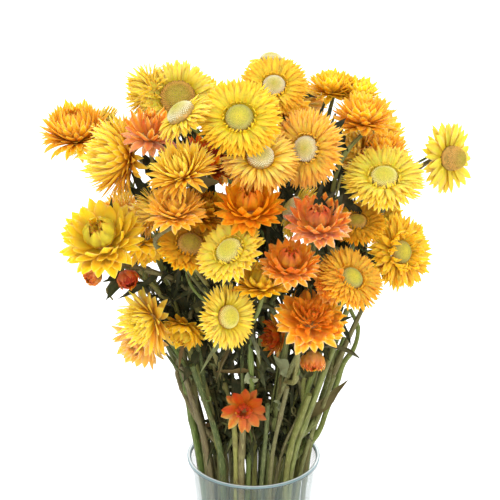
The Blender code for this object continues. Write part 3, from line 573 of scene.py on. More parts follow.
# Skins of items: rings is items x stations x loop points, and each skin is closed to a point at both ends.
# The loop runs counter-clockwise seen from the far end, so that faces point outwards. Along is given for
# the stations and the far end, across for the loop, and lot and row for the items.
def sweep(rings, starts, ends, paint, along=0, across=0, lot=0, row=0):
    items, stations, loop, _ = rings.shape
    each = stations * loop + 2
    points = np.concatenate([rings.reshape(items, each - 2, 3), starts[:, None], ends[:, None]], axis=1)
    s, l = np.meshgrid(np.arange(stations - 1), np.arange(loop), indexing="ij")
    here, there = s * loop + l, s * loop + (l + 1) % loop
    quads = np.stack([here, there, there + loop, here + loop], axis=-1).reshape(-1, 4)
    l = np.arange(loop)
    on = (l + 1) % loop
    last = (stations - 1) * loop
    low = np.stack([np.full(loop, each - 2), on, l], axis=-1)
    high = np.stack([np.full(loop, each - 1), last + l, last + on], axis=-1)
    shift = np.arange(items)[:, None, None] * each
    along = np.broadcast_to(along, stations + 1)
    along = np.append(np.repeat(along[:-1], loop), [0, along[-1]])
    across = np.append(np.tile(np.broadcast_to(across, loop), stations), [0, 0])
    return dict(
        points=points.reshape(-1, 3), quads=(quads + shift).reshape(-1, 4),
        triangles=(np.concatenate([low, high]) + shift).reshape(-1, 3), paint=paint,
        along=np.tile(along, items), across=np.tile(across, items),
        lot=np.repeat(np.broadcast_to(lot, items), each),
        row=np.repeat(np.broadcast_to(row, items), each),
    )


# A turned skin: the profile's (radius, height) carried round an axis, where it starts and ends.
def turnedSkin(profile, around, axis, paint, place=0, size=1, row=0):
    rings = place + size * (profile[1:-1, :1, None] * around + profile[1:-1, 1:, None] * axis)
    ends = place + size * profile[[0, -1], 1:] * axis
    return sweep(rings[None], ends[:1], ends[1:], paint, row=row)


# One mesh of several skins, each with its own paint. Its place is in its points, in metres.
def makePiece(name, skins, sharpFrom):
    paints = list(dict.fromkeys(skin["paint"] for skin in skins))
    starts = np.cumsum([0] + [len(skin["points"]) for skin in skins])
    loops, sizes, slots = [], [], []
    for skin, start in zip(skins, starts):
        for key, corners in (("quads", 4), ("triangles", 3)):
            faces = skin[key] + start
            loops.append(faces.ravel())
            sizes.append(np.full(len(faces), corners))
            slots.append(np.full(len(faces), paints.index(skin["paint"])))
    loops, sizes, slots = (np.concatenate(x) for x in (loops, sizes, slots))
    mesh = bpy.data.meshes.new(name)
    mesh.vertices.add(starts[-1])
    mesh.vertices.foreach_set("co", (np.concatenate([skin["points"] for skin in skins]) * mm).ravel())
    mesh.loops.add(len(loops))
    mesh.loops.foreach_set("vertex_index", loops)
    mesh.polygons.add(len(sizes))
    mesh.polygons.foreach_set("loop_start", np.concatenate([[0], np.cumsum(sizes)[:-1]]))
    mesh.polygons.foreach_set("material_index", slots)
    for mark in marks:
        values = np.concatenate([skin[mark] for skin in skins]).astype(np.float32)
        mesh.attributes.new(mark, "FLOAT", "POINT").data.foreach_set("value", values)
    for paint in paints:
        mesh.materials.append(paint)
    mesh.update(calc_edges=True)
    tally.append(int((sizes - 2).sum()))
    mesh.validate()
    mesh.shade_smooth()
    mesh.set_sharp_from_angle(angle=math.radians(sharpFrom))
    piece = bpy.data.objects.new(name, mesh)
    bpy.context.scene.collection.objects.link(piece)
    return piece


# A socket with arithmetic: a sum on it adds a Math node to its paint.
class Wire:
    def __init__(self, paint, socket):
        self.paint, self.socket = paint, socket

    def join(self, operation, a, b):
        return self.paint.node("Math", dict(operation=operation), {0: a, 1: b})

    def __add__(self, other):
        return self.join("ADD", self, other)

    def __radd__(self, other):
        return self.join("ADD", other, self)

    def __sub__(self, other):
        return self.join("SUBTRACT", self, other)

    def __rsub__(self, other):
        return self.join("SUBTRACT", other, self)

    def __mul__(self, other):
        return self.join("MULTIPLY", self, other)

    def __rmul__(self, other):
        return self.join("MULTIPLY", other, self)

    def __pow__(self, other):
        return self.join("POWER", self, other)


# A colour as it looks on screen, in hex, as the light it stands for.
def colour(shade):
    screen = np.array(list(bytes.fromhex(shade))) / 255
    light = np.where(screen <= 0.04045, screen / 12.92, ((screen + 0.055) / 1.055) ** 2.4)
    return (*light, 1.0)


class Paint:
    def __init__(self, name, **constants):
        self.material = bpy.data.materials.new(name)
        self.material.use_nodes = True
        self.tree = self.material.node_tree
        self.shader = self.tree.nodes["Principled BSDF"]
        for socket, value in constants.items():
            self.shader.inputs[socket.replace("_", " ")].default_value = value

    def feed(self, socket, value):
        if isinstance(value, Wire):
            self.tree.links.new(value.socket, socket)
        else:
            socket.default_value = value

    def node(self, kind, settings=None, inputs=None, output=0):
        made = self.tree.nodes.new("ShaderNode" + kind)
        for key, value in (settings or {}).items():
            if key != "stops":
                setattr(made, key, value)
                continue
            stops = made.color_ramp.elements
            while len(stops) < len(value):
                stops.new(0.5)
            for stop, (place, tone) in zip(stops, value):
                stop.position, stop.color = place, tone
        for key, value in (inputs or {}).items():
            self.feed(made.inputs[key], value)
        return Wire(self, made.outputs[output])

    def marks(self):
        return (self.node("Attribute", dict(attribute_name=mark), output="Fac") for mark in marks)

    def ramp(self, factor, *stops):
        stops = [(place, colour(shade)) for place, shade in stops]
        return self.node("ValToRGB", dict(stops=stops), {0: factor})

    # Colour b over a, by factor. Either may be a shade in hex.
    def blend(self, factor, a, b):
        a, b = (colour(x) if isinstance(x, str) else x for x in (a, b))
        settings = dict(data_type="RGBA", blend_type="MIX", clamp_result=True)
        return self.node("Mix", settings, {0: factor, 6: a, 7: b}, output=2)

    def noise(self, vector, scale, detail=2):
        return self.node("TexNoise", {}, dict(Vector=vector, Scale=scale, Detail=detail))

    def vector(self, x, y, z):
        return self.node("CombineXYZ", {}, {0: x, 1: y, 2: z})

    def place(self):
        return self.node("TexCoord", {}, output="Object")

    def steps(self, value, low, high):
        settings = dict(interpolation_type="SMOOTHSTEP")
        return self.node("MapRange", settings, {0: value, 1: low, 2: high})

    def finish(self, tone, rough, height=None, strength=0.4, distance=0.0002):
        self.feed(self.shader.inputs["Base Color"], tone)
        self.feed(self.shader.inputs["Roughness"], rough)
        if height is not None:
            inputs = dict(Height=height, Strength=strength, Distance=distance)
            self.feed(self.shader.inputs["Normal"], self.node("Bump", {}, inputs))
        return self.material


# Bract colours: at the foot, in the middle, at the tip, of the outermost rows, of the streaks, and at the
# tips of the innermost bracts. The foot tones, darker and redder than the middle, are partly the bracts' own
# colour and partly painted shade where the feet lie deep in the head.
palettes = dict(
    lemon="eebe24 f7d142 f5c238 f0b836 e4aa18 eeb022",
    sunny="f0b818 f6c72e f4b624 eea01a e2940e aa420a",
    gold="e6ac18 eaba2c ecb62a e49a24 d69012 96380c",
    straw="f0a41e f7ce4e f4b43e e67e2a e08e22 f0a02c",
    flame="e2700e faca36 fcd042 ea7a22 e8921e f6ac28",
    honey="f4b420 f8bc2a f6a622 ee901e e07e12 ce6414",
    amber="f2961a f6a82c f29826 f08c28 e27212 c84e0e",
    apricot="f6ac2c fab63a f69a32 f09038 e67a22 dc6420",
    tuft="eca61c f6d03e f6ce42 f48830 e8a022 f4c42c",
    peach="e69638 f0ac54 e8924a eca05a da823a e27c32",
    # gold bracts painted darker as shade, for heads that lie in shade behind others
    bronze="ce8816 d68a1a ce7a14 c46812 b85c0e be5c10",
    orange="f0860a f0820c e86a0c e4741e d65406 d24e0c",
    ember="f6861a f68a22 f0721c f49242 e25e10 d44410",
    coral="f69824 f28222 d84c1e ee8e4c d84e16 be2a12",
    rose="ee9034 e47432 cc3e1e e88e70 d24c28 d85c2c",
    red="ce500c be360c 9c200a d06034 962008 962208",
)


# Papery bract: a run of tones from foot to tip, warmer outer rows, fine streaks along the blade.
def bractPaint(name, foot, body, tip, outer, streak, heart):
    paint = Paint(name + "Bract", Specular_IOR_Level=0.12, Subsurface_Weight=0.7, Subsurface_Scale=0.004,
                  Subsurface_Radius=(1, 0.5, 0.12))
    along, sideways, lot, row = paint.marks()
    # the foot tone is partly painted shade where the feet lie deep in the head
    tone = paint.ramp(along + (lot - 0.5) * 0.25, (0.15, foot), (0.55, body), (0.95, tip))
    tone = paint.blend(paint.steps(row, 0.55, 1) * 0.6, tone, outer)
    grain = paint.noise(paint.vector(sideways * 1.6 + lot * 91, along * 0.7, lot * 37), 3)
    tone = paint.blend(paint.steps(grain, 0.45, 0.72) * 0.22, tone, streak)
    tone = paint.blend(paint.steps(lot, 0.7, 1) * 0.3, tone, body)
    tone = paint.blend(paint.steps(along, 0.6, 0.95) * (1 - paint.steps(row, 0.1, 0.32)), tone, heart)
    return paint.finish(tone, 0.6 - grain * 0.15, grain, 0.35)


# Disc colours: the middle, halfway out, the rim, and a dark tone for darker florets and for painted shade
# between the florets and round the disc's edge.
discTones = dict(
    green="c8be2c b6b23e aaa85c 847e2c",
    lime="c6c036 c8c44c d4ce7c 9c9638",
    cream="b6ae44 c8c07c d2cca8 9c9260",
    brown="a0961a a28e24 bc9240 68481c",
    tan="9c9222 b09636 cc9e4a 7c5622",
)


# Florets: a run of tones from the middle of the disc to its rim, each floret a little lighter or darker,
# with painted shade at the foot of each floret and round the disc's edge.
def discPaint(name, centre, half, rim, darkAndShade):
    paint = Paint(name + "Disc", Specular_IOR_Level=0.3)
    along, _, lot, row = paint.marks()
    tone = paint.ramp(row, (0.1, centre), (0.6, half), (0.85, rim))
    tone = paint.blend(paint.steps(lot, 0.6, 1) * 0.35, tone, darkAndShade)
    # painted shade at the foot of each floret, down between the florets
    tone = paint.blend((1 - paint.steps(along, 0.1, 0.7)) * 0.3, tone, darkAndShade)
    # painted shade round the disc's edge, where the bracts meet it
    tone = paint.blend(paint.steps(row, 0.93, 1) * 0.6, tone, darkAndShade)
    speck = paint.noise(paint.place(), 1400)
    return paint.finish(tone, 0.65 + speck * 0.2, speck, 0.3)


# The cup under a head: green and straw-coloured in fine specks.
def calyxPaint():
    paint = Paint("calyx", Specular_IOR_Level=0.25)
    speck = paint.noise(paint.place(), 500, 3)
    return paint.finish(paint.ramp(speck, (0.3, "787038"), (0.7, "be9654")), 0.75, speck, 0.4, 0.0003)


bractPaints = {name: bractPaint(name, *tones.split()) for name, tones in palettes.items()}
discPaints = {name: discPaint(name, *tones.split()) for name, tones in discTones.items()}
calyx = calyxPaint()

# How each look's bracts stand, in hundredths of the head's half-width. A look's first line gives its disc,
# if it has one: radius, height of its foot and its own height. Each row of bracts gives their number and
# width, how far they fold, where its first and last stand between the heart of the head, 0, and its
# outermost bracts, 100, and how unruly they are; then the radius and height of their roots, knees and
# tips, from first to last.
lookTable = """
daisy 33 5 17
30 6 30 30 35 100 | 35 2 | 41 13 | 31 20, 34 18
210 12.5 20 35 100 80 | 33 3, 26 -6, 14 -24 | 46 24, 56 10, 58 -14 | 80 22, 98 12, 102 -8
fineDaisy 35 5 22
210 10 30 35 100 130 | 34 3, 26 -6, 14 -24 | 50 24, 56 8, 56 -14 | 80 22, 98 10, 102 -10
eyeDaisy 45 5 18
180 12 20 35 100 90 | 44 2, 30 -6, 14 -24 | 58 20, 62 8, 58 -14 | 84 20, 99 10, 102 -8
broadDaisy 39 5 20
30 8 30 30 35 100 | 41 1 | 47 14 | 37 23, 40 20
110 21 20 35 100 80 | 38 2, 28 -6, 14 -24 | 54 22, 60 6, 60 -14 | 82 22, 98 14, 102 -6
curled 30 4 20
40 12 60 30 50 240 | 31 2 | 55 30, 64 26 | 22 36, 62 44
130 16 30 50 100 160 | 30 0, 14 -24 | 56 14, 60 -14 | 86 24, 100 6, 102 -12
spent 46 4 32
110 13 40 35 100 140 | 44 0, 16 -24 | 66 6, 60 -20 | 92 -4, 100 -36
flared 36 6 48
62 23 25 35 100 130 | 36 2, 16 -24 | 66 10, 60 -16 | 100 10, 104 -24
quills 36 5 24
170 10 40 35 100 120 | 34 2, 14 -24 | 56 20, 62 -6 | 86 10, 102 0, 102 -24
goblet
18 15 50 0 6 200 | 5 25, 10 22 | 12 45, 20 42 | 5 60, 17 68
11 46 40 35 40 60 | 12 0 | 62 28 | 11 60, 18 66
24 32 30 40 60 100 | 16 -5, 14 -12 | 66 16, 66 2 | 56 66, 92 40
38 30 25 60 100 100 | 14 -12, 12 -20 | 62 0, 60 -16 | 95 30, 104 -12
shaggy
60 12 25 15 40 150 | 4 2, 22 0 | 18 34, 50 36 | 8 66, 40 82
140 14 20 40 100 130 | 24 0, 12 -22 | 52 32, 66 -6 | 62 72, 98 30, 105 -25
tuft
110 12 25 10 45 150 | 4 2, 26 0 | 16 36, 56 32 | 8 56, 70 66
44 26 25 60 100 140 | 16 -5, 12 -22 | 60 16, 62 -12 | 94 44, 108 12, 100 -20
fringed
70 13 25 10 40 130 | 4 2, 22 0 | 20 40, 52 38 | 6 68, 42 84
150 15 20 40 100 110 | 24 0, 12 -22 | 56 36, 70 -4 | 60 86, 98 40, 106 -30
ball
70 19 15 0 35 90 | 4 4, 20 0 | 24 45, 55 40 | 2 66, 34 86
150 20 15 35 100 90 | 20 0, 12 -20 | 60 38, 72 0 | 52 90, 98 48, 102 -38
brush
34 22 25 20 40 100 | 4 0, 16 -2 | 14 36, 42 30 | 8 54, 48 64
40 26 20 40 70 100 | 16 -2, 14 -12 | 50 24, 62 4 | 62 62, 94 36
40 26 20 70 100 120 | 14 -14, 12 -22 | 62 0, 60 -20 | 100 30, 98 -32
ragged
90 14 40 12 40 260 | 6 10, 34 2 | 16 42, 60 30 | 5 50, 48 50, 66 44
24 34 25 45 70 120 | 24 -5, 18 -10 | 64 12, 66 2 | 86 36, 96 22
26 34 20 70 100 100 | 14 -14, 12 -22 | 62 -2, 60 -20 | 102 12, 102 -20
pointed
21 24 40 20 40 120 | 6 0, 14 0 | 22 42, 46 40 | 6 80, 34 92
21 28 35 40 60 120 | 16 -5, 14 -12 | 60 26, 66 6 | 66 78, 98 40
26 28 30 75 100 140 | 14 -14, 12 -20 | 62 0, 58 -20 | 106 20, 90 -50
petals
18 24 35 20 40 120 | 10 0 | 35 30 | 14 50, 40 66
16 36 30 45 70 100 | 18 -5 | 62 18, 66 4 | 60 64, 92 38
20 36 25 70 100 100 | 14 -18 | 62 0, 60 -18 | 100 25, 100 -24
star
8 48 50 35 40 80 | 10 0 | 58 30, 64 24 | 10 50, 18 60
13 44 35 45 100 100 | 20 -5, 14 -20 | 66 10, 66 -10 | 100 32, 110 5
bud
40 56 30 10 100 100 | 40 -10, 26 -40 | 90 50, 125 5 | 16 105, 80 80
"""


def hundredths(words):
    return [float(word) / 100 for word in words]


def readLooks(table):
    found = {}
    for line in table.strip().splitlines():
        start, *runs = line.split("|")
        first, *values = start.split()
        if first.isalpha():
            look = found[first] = dict(disc=hundredths(values), rows=[])
        else:
            stops = [[hundredths(stop.split()) for stop in run.split(",")] for run in runs]
            look["rows"].append((int(first), *hundredths(values), *stops))
    return found


looks = readLooks(lookTable)
# Bracts reach puff times as far as their solid, as the picture's heads press into each other. The loop runs
# over the top of the blade and back underneath. The values from turn on say how much bracts differ; shade
# says how far bracts that hang on the head's lower side take the outer rows' tone, partly their own colour
# and partly painted shade under the head.
bractLook = dict(
    seed=11, puff=1.06, stations=np.array([0, 0.2, 0.42, 0.64, 0.82, 0.94]),
    loop=np.array([1, 0, -1, 0]), thick=0.25, turn=0.04, short=(-0.02, 0.1), lift=0.035,
    wave=0.03, knee=0.015, sway=0.035, roll=0.15, widths=(0.8, 1.15), end=0.01, shade=0.35,
    outline=(0.45, 0.58, 0.5, 2.3),
)


# A blade's half-width along it: it widens from its foot as a sine until it is full, and from taper on it is
# drawn to a point by a power curve.
def bladeOutline(u, foot, full, taper, point):
    rise = foot + (1 - foot) * np.sin(np.minimum(u / full, 1) * math.pi / 2)
    return rise * (1 - np.maximum((u - taper) / (1 - taper), 0) ** point)


# A path's points at the places, where its own points stand at the stations.
def pathAt(places, stations, path):
    return np.stack([np.interp(places, stations, run) for run in np.transpose(path)], axis=1)


# Bracts stand in a golden-angle spiral, the innermost first. Each is a blade carried along a curve with a
# root, a knee and a tip, in the plane through the head's axis; it sways sideways, rolls and cups a little.
def bractSkins(head, row, draw):
    count, wide, fold, inner, outer, unruly, *stops = row
    b, v = bractLook, bractLook["loop"]
    share = (np.arange(count) + 0.5) / count
    turn = np.arange(count) * goldenTurn + draw.normal(0, b["turn"] * unruly, count) + head["spin"]
    root, knee, tip = (pathAt(share, np.linspace(0, 1, len(stop)), stop) for stop in stops)
    tip = root + (tip - root) * (1 - unruly * draw.uniform(*b["short"], count))[:, None]
    tip[:, 1] += draw.normal(0, b["lift"] * unruly, count) + b["wave"] * np.sin(3 * turn + head["spin"])
    knee[:, 1] += draw.normal(0, b["knee"] * unruly, count)
    root, knee, tip = root[:, None], knee[:, None], tip[:, None]
    radial, facing = spokes(head, turn)
    sideways = np.cross(facing, radial)[:, None]
    radial = radial[:, None]
    scale = head["radius"] * b["puff"]

    def inSpace(u, shift):
        flat = (1 - u) ** 2 * root + 2 * u * (1 - u) * knee + u**2 * tip
        return head["place"] + scale * (
            flat[..., :1] * radial + flat[..., 1:] * facing + shift[..., None] * sideways
        )

    u = b["stations"][None, :, None]
    slope = unit(2 * (1 - u) * (knee - root) + 2 * u * (tip - knee))
    sway = draw.normal(0, b["sway"] * unruly, count)[:, None] * b["stations"]**2
    centre = inSpace(u, sway)
    normal = -slope[..., 1:] * radial + slope[..., :1] * facing
    roll = (draw.normal(0, b["roll"] * unruly, count)[:, None] * b["stations"])[..., None]
    flatWay = np.cos(roll) * sideways + np.sin(roll) * normal
    topWay = np.cos(roll) * normal - np.sin(roll) * sideways
    outline = bladeOutline(b["stations"], *b["outline"])
    width = scale * wide / 2 * draw.uniform(*b["widths"], count)[:, None] * outline
    lift = fold * width[..., None] * v**2
    lift[..., -1] = -b["thick"]
    rings = (
        centre[:, :, None] + flatWay[:, :, None] * (width[..., None] * v)[..., None]
        + topWay[:, :, None] * lift[..., None]
    )
    end = inSpace(1.0, draw.normal(0, b["end"], (count, 1)) + sway[:, -1:])[:, 0]
    # bracts that hang on the lower side take the outer rows' tone: partly their own colour, partly painted
    # shade
    hanging = np.clip(-radial[:, 0, 2], 0, 1) * (inner > 0.3)  # the lower side is coloured as outer rows are
    return sweep(
        rings, centre[:, 0] - topWay[:, 0] * b["thick"] / 2, end, bractPaints[head["palette"]],
        along=np.append(b["stations"], 1), across=v, lot=draw.uniform(0, 1, count),
        row=np.minimum(inner + (outer - inner) * share + b["shade"] * hanging, 1),
    )


# Disc is for looks that show none. Dome is where the dome's points lie, as angles. The rest are shares of
# the base's or disc's radius, and heights, in half-widths of the head.
calyxLook = dict(
    disc=(0.26, -0.02, 0.1), sole=0.8, edge=0.03, waist=0.75, waistHeight=-0.12, lip=0.02,
    dome=np.linspace(0.2, 1.35, 6), sides=20,
)


# The cup that carries the bracts: a profile from the stem's end out to the disc's edge and in over an
# elliptic dome, turned round the head's axis.
def calyxSkin(head):
    c = calyxLook
    width, base = forms[head["form"]]["base"]
    radius, foot, height = looks[head["look"]]["disc"] or c["disc"]
    profile = np.array([
        (0, base), (width * c["sole"], base), (width, base + c["edge"]),
        (radius * c["waist"], c["waistHeight"]), (radius, foot - c["lip"]), (radius, foot),
        *[(radius * math.cos(a), foot + height * math.sin(a)) for a in c["dome"]],
        (0, foot + height),
    ])
    around, facing = spokes(head, evenAngles(c["sides"]))
    return turnedSkin(profile, around, facing, calyx, head["place"], head["radius"], row=1)


# The stations are (radius, height) in half-widths of a floret, and root and tip say in the same measure how
# deep it starts and how high it ends. Spread is the share of the dome that florets cover. Discs named in
# tall have an outer belt of florets twice as high.
floretLook = dict(
    count=300, sides=4, stations=np.array([(1.05, -0.8), (0.95, 0.05), (0.5, 0.35)]), lean=1.2,
    heights=(0.8, 1.3), belt=0.55, tall=("brown", "tan"), spread=0.97, wide=1.05, root=0.7, tip=0.45,
)


# Florets of an open head: short blunt pegs in a golden-angle spiral over a dome.
def floretSkins(head, draw):
    radius, foot, height = looks[head["look"]]["disc"]
    f, count = floretLook, floretLook["count"]
    share = np.sqrt((np.arange(count) + 0.5) / count)
    radial, facing = spokes(head, np.arange(count) * goldenTurn)
    lean = (share * f["lean"])[:, None]
    outward = radial * np.sin(lean) + facing * np.cos(lean)
    level = foot + height * np.sqrt(1 - (share * f["spread"]) ** 2)
    spot = head["place"] + head["radius"] * (radial * (share * radius)[:, None] + level[:, None] * facing)
    flat = np.cross(facing, radial)
    up = np.cross(outward, flat)
    peg = radius * head["radius"] / math.sqrt(count) * f["wide"]
    angles = evenAngles(f["sides"])[None, :, None]
    loop = np.cos(angles) * up[:, None] + np.sin(angles) * -flat[:, None]
    tall = draw.uniform(*f["heights"], count) * (1 + (share > f["belt"]) * (head["disc"] in f["tall"]))
    tall = tall[:, None, None, None]
    rings = (
        spot[:, None, None] + peg * f["stations"][None, :, :1, None] * loop[:, None]
        + peg * tall * f["stations"][None, :, 1:, None] * outward[:, None, None]
    )
    return sweep(
        rings, spot - outward * peg * f["root"], spot + outward * peg * f["tip"] * tall[:, 0, 0],
        discPaints[head["disc"]], along=[0, 0.6, 1, 1], lot=draw.uniform(0, 1, count), row=share,
    )


def makeBlooms():
    draw = np.random.default_rng(bractLook["seed"])
    for head in heads:
        head["spin"] = draw.uniform(0, 2 * math.pi)
    for node in dict.fromkeys(head["node"] for head in heads):
        mine = [head for head in heads if head["node"] == node]
        skins = []
        for head in mine:
            skins.append(calyxSkin(head))
            skins += [bractSkins(head, row, draw) for row in looks[head["look"]]["rows"]]
            if head["disc"]:
                skins.append(floretSkins(head, draw))
        piece = makePiece(node.replace("_", "-"), skins, 60)
        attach(piece, "root")
        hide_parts(node)


makeBlooms()
print("blooms made")

stemLook = dict(
    seed=5, stations=48, slim=0.92, sides=12, ribs=4, ribDepth=0.11, knots=6,
    knotsFrom=(0.1, 0.95), knotLength=0.012, knotHeight=0.3, twist=5, fibres=8,
)
# Thin stalks and tendrils that the solids leave out: how many for each stem, and the ranges of the rest.
# Tendrils are tendrilThick at root and tip, and their curls get smaller from the first of curlSizes by the
# second. Within room of a head's balls stalks are cut off, and those left with no more than shortest of
# their length are dropped. Up to overRim above the rim they stay wallGap inside the glass.
undergrowth = dict(
    stalks=1.6, stalkThick=(1.4, 3.2), stalkEnd=0.7, stalkAway=(3, 9), opening=0.35,
    starts=(0.12, 0.45), runs=(0.25, 0.55), last=0.86, points=26, tendrils=1.2, curl=(2, 5), curlTurn=(3, 7),
    tendrilThick=(1.1, 0.4), tendrilRise=(-0.2, 0.9), tendrilLevels=(236, 400), tendrilReach=200,
    tighter=1.4, curlSizes=(1.2, 0.6), curlReach=2, swing=2.5, room=2.5, shortest=0.35,
    wallGap=0.5, overRim=8,
)
# Stalks that stand against the glass all round: number and spots on the ring, thickness and the share of it
# at the end, from where to where they rise, and how they open and sway. They follow lines that come within
# level of the rim's height.
rimStalk = dict(
    count=26, ring=35.2, shift=0.3, thick=(2.8, 4.6), end=0.8, root=70, aboveRim=6,
    ends=(285, 350), growth=0.8, open=0.006, sway=0.9, swayTurn=9, points=30, level=12,
)
# Kinds of dead leaves: small curled ones in the crown, broad ones that rise among the inner stems, and
# large ones that fill the middle of the crown. Each says how many for a stem, their sizes and how steeply
# they rise, how far from the middle and between which heights they grow, and how far into a head their
# spots may lie.
litter = [
    dict(each=6, lengths=(6, 14), widths=(2, 5), rise=(-0.4, 1), reach=62, levels=(335, 430), press=1),
    dict(each=13, lengths=(14, 28), widths=(5, 10), rise=(1, 3), reach=32, levels=(234, 330), press=1),
    dict(each=22, lengths=(10, 26), widths=(6, 13), rise=(-0.2, 1.6), reach=72, levels=(315, 445), press=7),
]
leafRoom = dict(low=228, overhang=8, hang=(0.3, 1.5), aside=0.3, sight=1.02)


# Stem tones: olive, green and grey-brown, changing from stem to stem, with light and dark fibres.
def stemPaint():
    paint = Paint("driedStem", Specular_IOR_Level=0.3)
    along, around, lot, _ = paint.marks()
    tone = paint.ramp(lot, (0, "465c1e"), (0.2, "687432"), (0.4, "5e5238"), (0.6, "7c7c38"),
                      (0.8, "3a481e"), (1, "6a6036"))
    patches = paint.noise(paint.place(), 70, 4)
    tone = paint.blend(paint.steps(patches, 0.5, 0.75) * 0.6, tone, "543e22")
    fibre = paint.noise(paint.vector(around * 9, along * 2, lot * 40), 3, 3)
    tone = paint.blend(paint.steps(fibre, 0.52, 0.72) * 0.55, tone, "b0b074")
    tone = paint.blend((1 - paint.steps(fibre, 0.3, 0.46)) * 0.6, tone, "2c2a12")
    return paint.finish(tone, 0.55 + fibre * 0.2, fibre, 0.6, 0.0005)


# Leaves nearly black, partly from drying and partly as painted shade inside the bunch, with olive and
# brown left in places.
def leafPaint():
    paint = Paint("driedLeafAndShade", Specular_IOR_Level=0.25)
    along, sideways, lot, _ = paint.marks()
    # the near-black tones are partly painted shade, for the leaves in the gaps and inside the crown
    tone = paint.ramp(lot, (0, "1e220c"), (0.5, "2e3414"), (0.85, "4a4620"), (0.9, "68502c"),
                      (0.94, "68703e"), (1, "929672"))
    wear = paint.noise(paint.place(), 220, 3)
    tone = paint.blend(paint.steps(wear, 0.45, 0.7) * 0.5, tone, "4e4226")
    veins = paint.noise(paint.vector(sideways * 5, along * 2, lot * 40), 4, 3)
    return paint.finish(tone, 0.7, veins, 0.6, 0.0005)


driedStem = stemPaint()
driedLeafAndShade = leafPaint()


# Evenly spaced points on a smooth curve through a line's own points.
def smoothLine(points, count):
    points = np.array(points)
    slopes = np.gradient(points, axis=0)
    place = np.linspace(0, len(points) - 1, count)
    i = np.minimum(place.astype(int), len(points) - 2)
    return smoothCurve(points[i], slopes[i], points[i + 1], slopes[i + 1], (place - i)[:, None])


# Two unit vectors across each path at each station, turned as little as possible from one to the next.
def carriedFrames(paths):
    tangents = unit(np.gradient(paths, axis=1))
    sideways = [unit(np.cross(tangents[:, 0], [0.3, 1, 0.1]))]
    for station in range(1, paths.shape[1]):
        t, before = tangents[:, station], sideways[-1]
        sideways.append(unit(before - t * (before * t).sum(-1, keepdims=True)))
    sideways = np.stack(sideways, axis=1)
    return sideways, np.cross(tangents, sideways)


# Ribbed tubes: a ribbed round carried along each path, thickened at the knots and twisted on its way.
def tubeSkins(paths, thick, draw):
    look = stemLook
    count, stations, _ = paths.shape
    sideways, other = carriedFrames(paths)
    t = np.linspace(0, 1, stations)
    width = (thick[:, :1] + (thick[:, 1:] - thick[:, :1]) * t) / 2
    knots = draw.uniform(*look["knotsFrom"], (count, look["knots"]))
    swell = np.exp(-(((t[None, :, None] - knots[:, None]) / look["knotLength"]) ** 2)).sum(-1)
    width = width * (1 + look["knotHeight"] * np.minimum(swell, 1))
    angles = evenAngles(look["sides"])
    turned = (angles + (draw.uniform(-1, 1, count)[:, None] * look["twist"] * t)[..., None])[..., None]
    ribs = 1 + look["ribDepth"] * np.cos(look["ribs"] * angles)
    loop = np.cos(turned) * sideways[:, :, None] + np.sin(turned) * other[:, :, None]
    rings = paths[:, :, None] + loop * (width[..., None] * ribs)[..., None]
    return sweep(rings, paths[:, 0], paths[:, -1], driedStem, along=np.append(t, 1) * look["fibres"],
                 across=np.abs(angles / math.pi - 1), lot=draw.uniform(0, 1, count))


# Tubes of a drawn thickness, which narrow to a share of it.
def stalkSkins(paths, thick, end, draw):
    widths = draw.uniform(*thick, len(paths))
    return tubeSkins(paths, np.stack([widths, widths * end], axis=1), draw)


# Stalks that leave a stem and run beside it: the stem's own path, moved off it by a distance that opens out
# over the first third, in a direction that turns slowly round the stem. They stay inside the glass.
def stalkPaths(paths, count, draw):
    u = undergrowth
    stem = draw.integers(0, len(paths), count)
    stations = paths.shape[1]
    start = draw.uniform(*u["starts"], count)
    end = np.minimum(start + draw.uniform(*u["runs"], count), u["last"])
    t = np.linspace(0, 1, u["points"])
    at = (start[:, None] + (end - start)[:, None] * t) * (stations - 1)
    low = np.minimum(at.astype(int), stations - 2)
    part = (at - low)[..., None]
    middle, side, front = (
        array[stem[:, None], low] * (1 - part) + array[stem[:, None], low + 1] * part
        for array in (paths, *carriedFrames(paths))
    )
    turn = draw.uniform(0, 6.28, count)[:, None] + draw.uniform(-u["swing"], u["swing"], count)[:, None] * t
    opening = np.sin(np.minimum(t / u["opening"], 1) * math.pi / 2)
    away = (draw.uniform(*u["stalkAway"], count)[:, None] * opening)[..., None]
    made = middle + away * (np.cos(turn)[..., None] * side + np.sin(turn)[..., None] * front)
    made, long = clearOfHeads(insideGlass(made, u["stalkThick"][1]))
    return made[long]


# Cuts each path short where it would run into a head, and spreads its points over what is left. The second
# result says which paths keep enough of their length.
def clearOfHeads(paths):
    centres, sizes = headBalls
    room = sizes + undergrowth["room"]
    t = np.linspace(0, 1, paths.shape[1])
    inside = [lengths(path[:, None] - centres) < room for path in paths]
    inside = np.array(inside).any(axis=2)
    kept = np.where(inside.any(axis=1), inside.argmax(axis=1) / (len(t) - 1), 1)
    cut = [pathAt(t * end, t, path) for path, end in zip(paths, kept)]
    return np.array(cut), kept > undergrowth["shortest"]


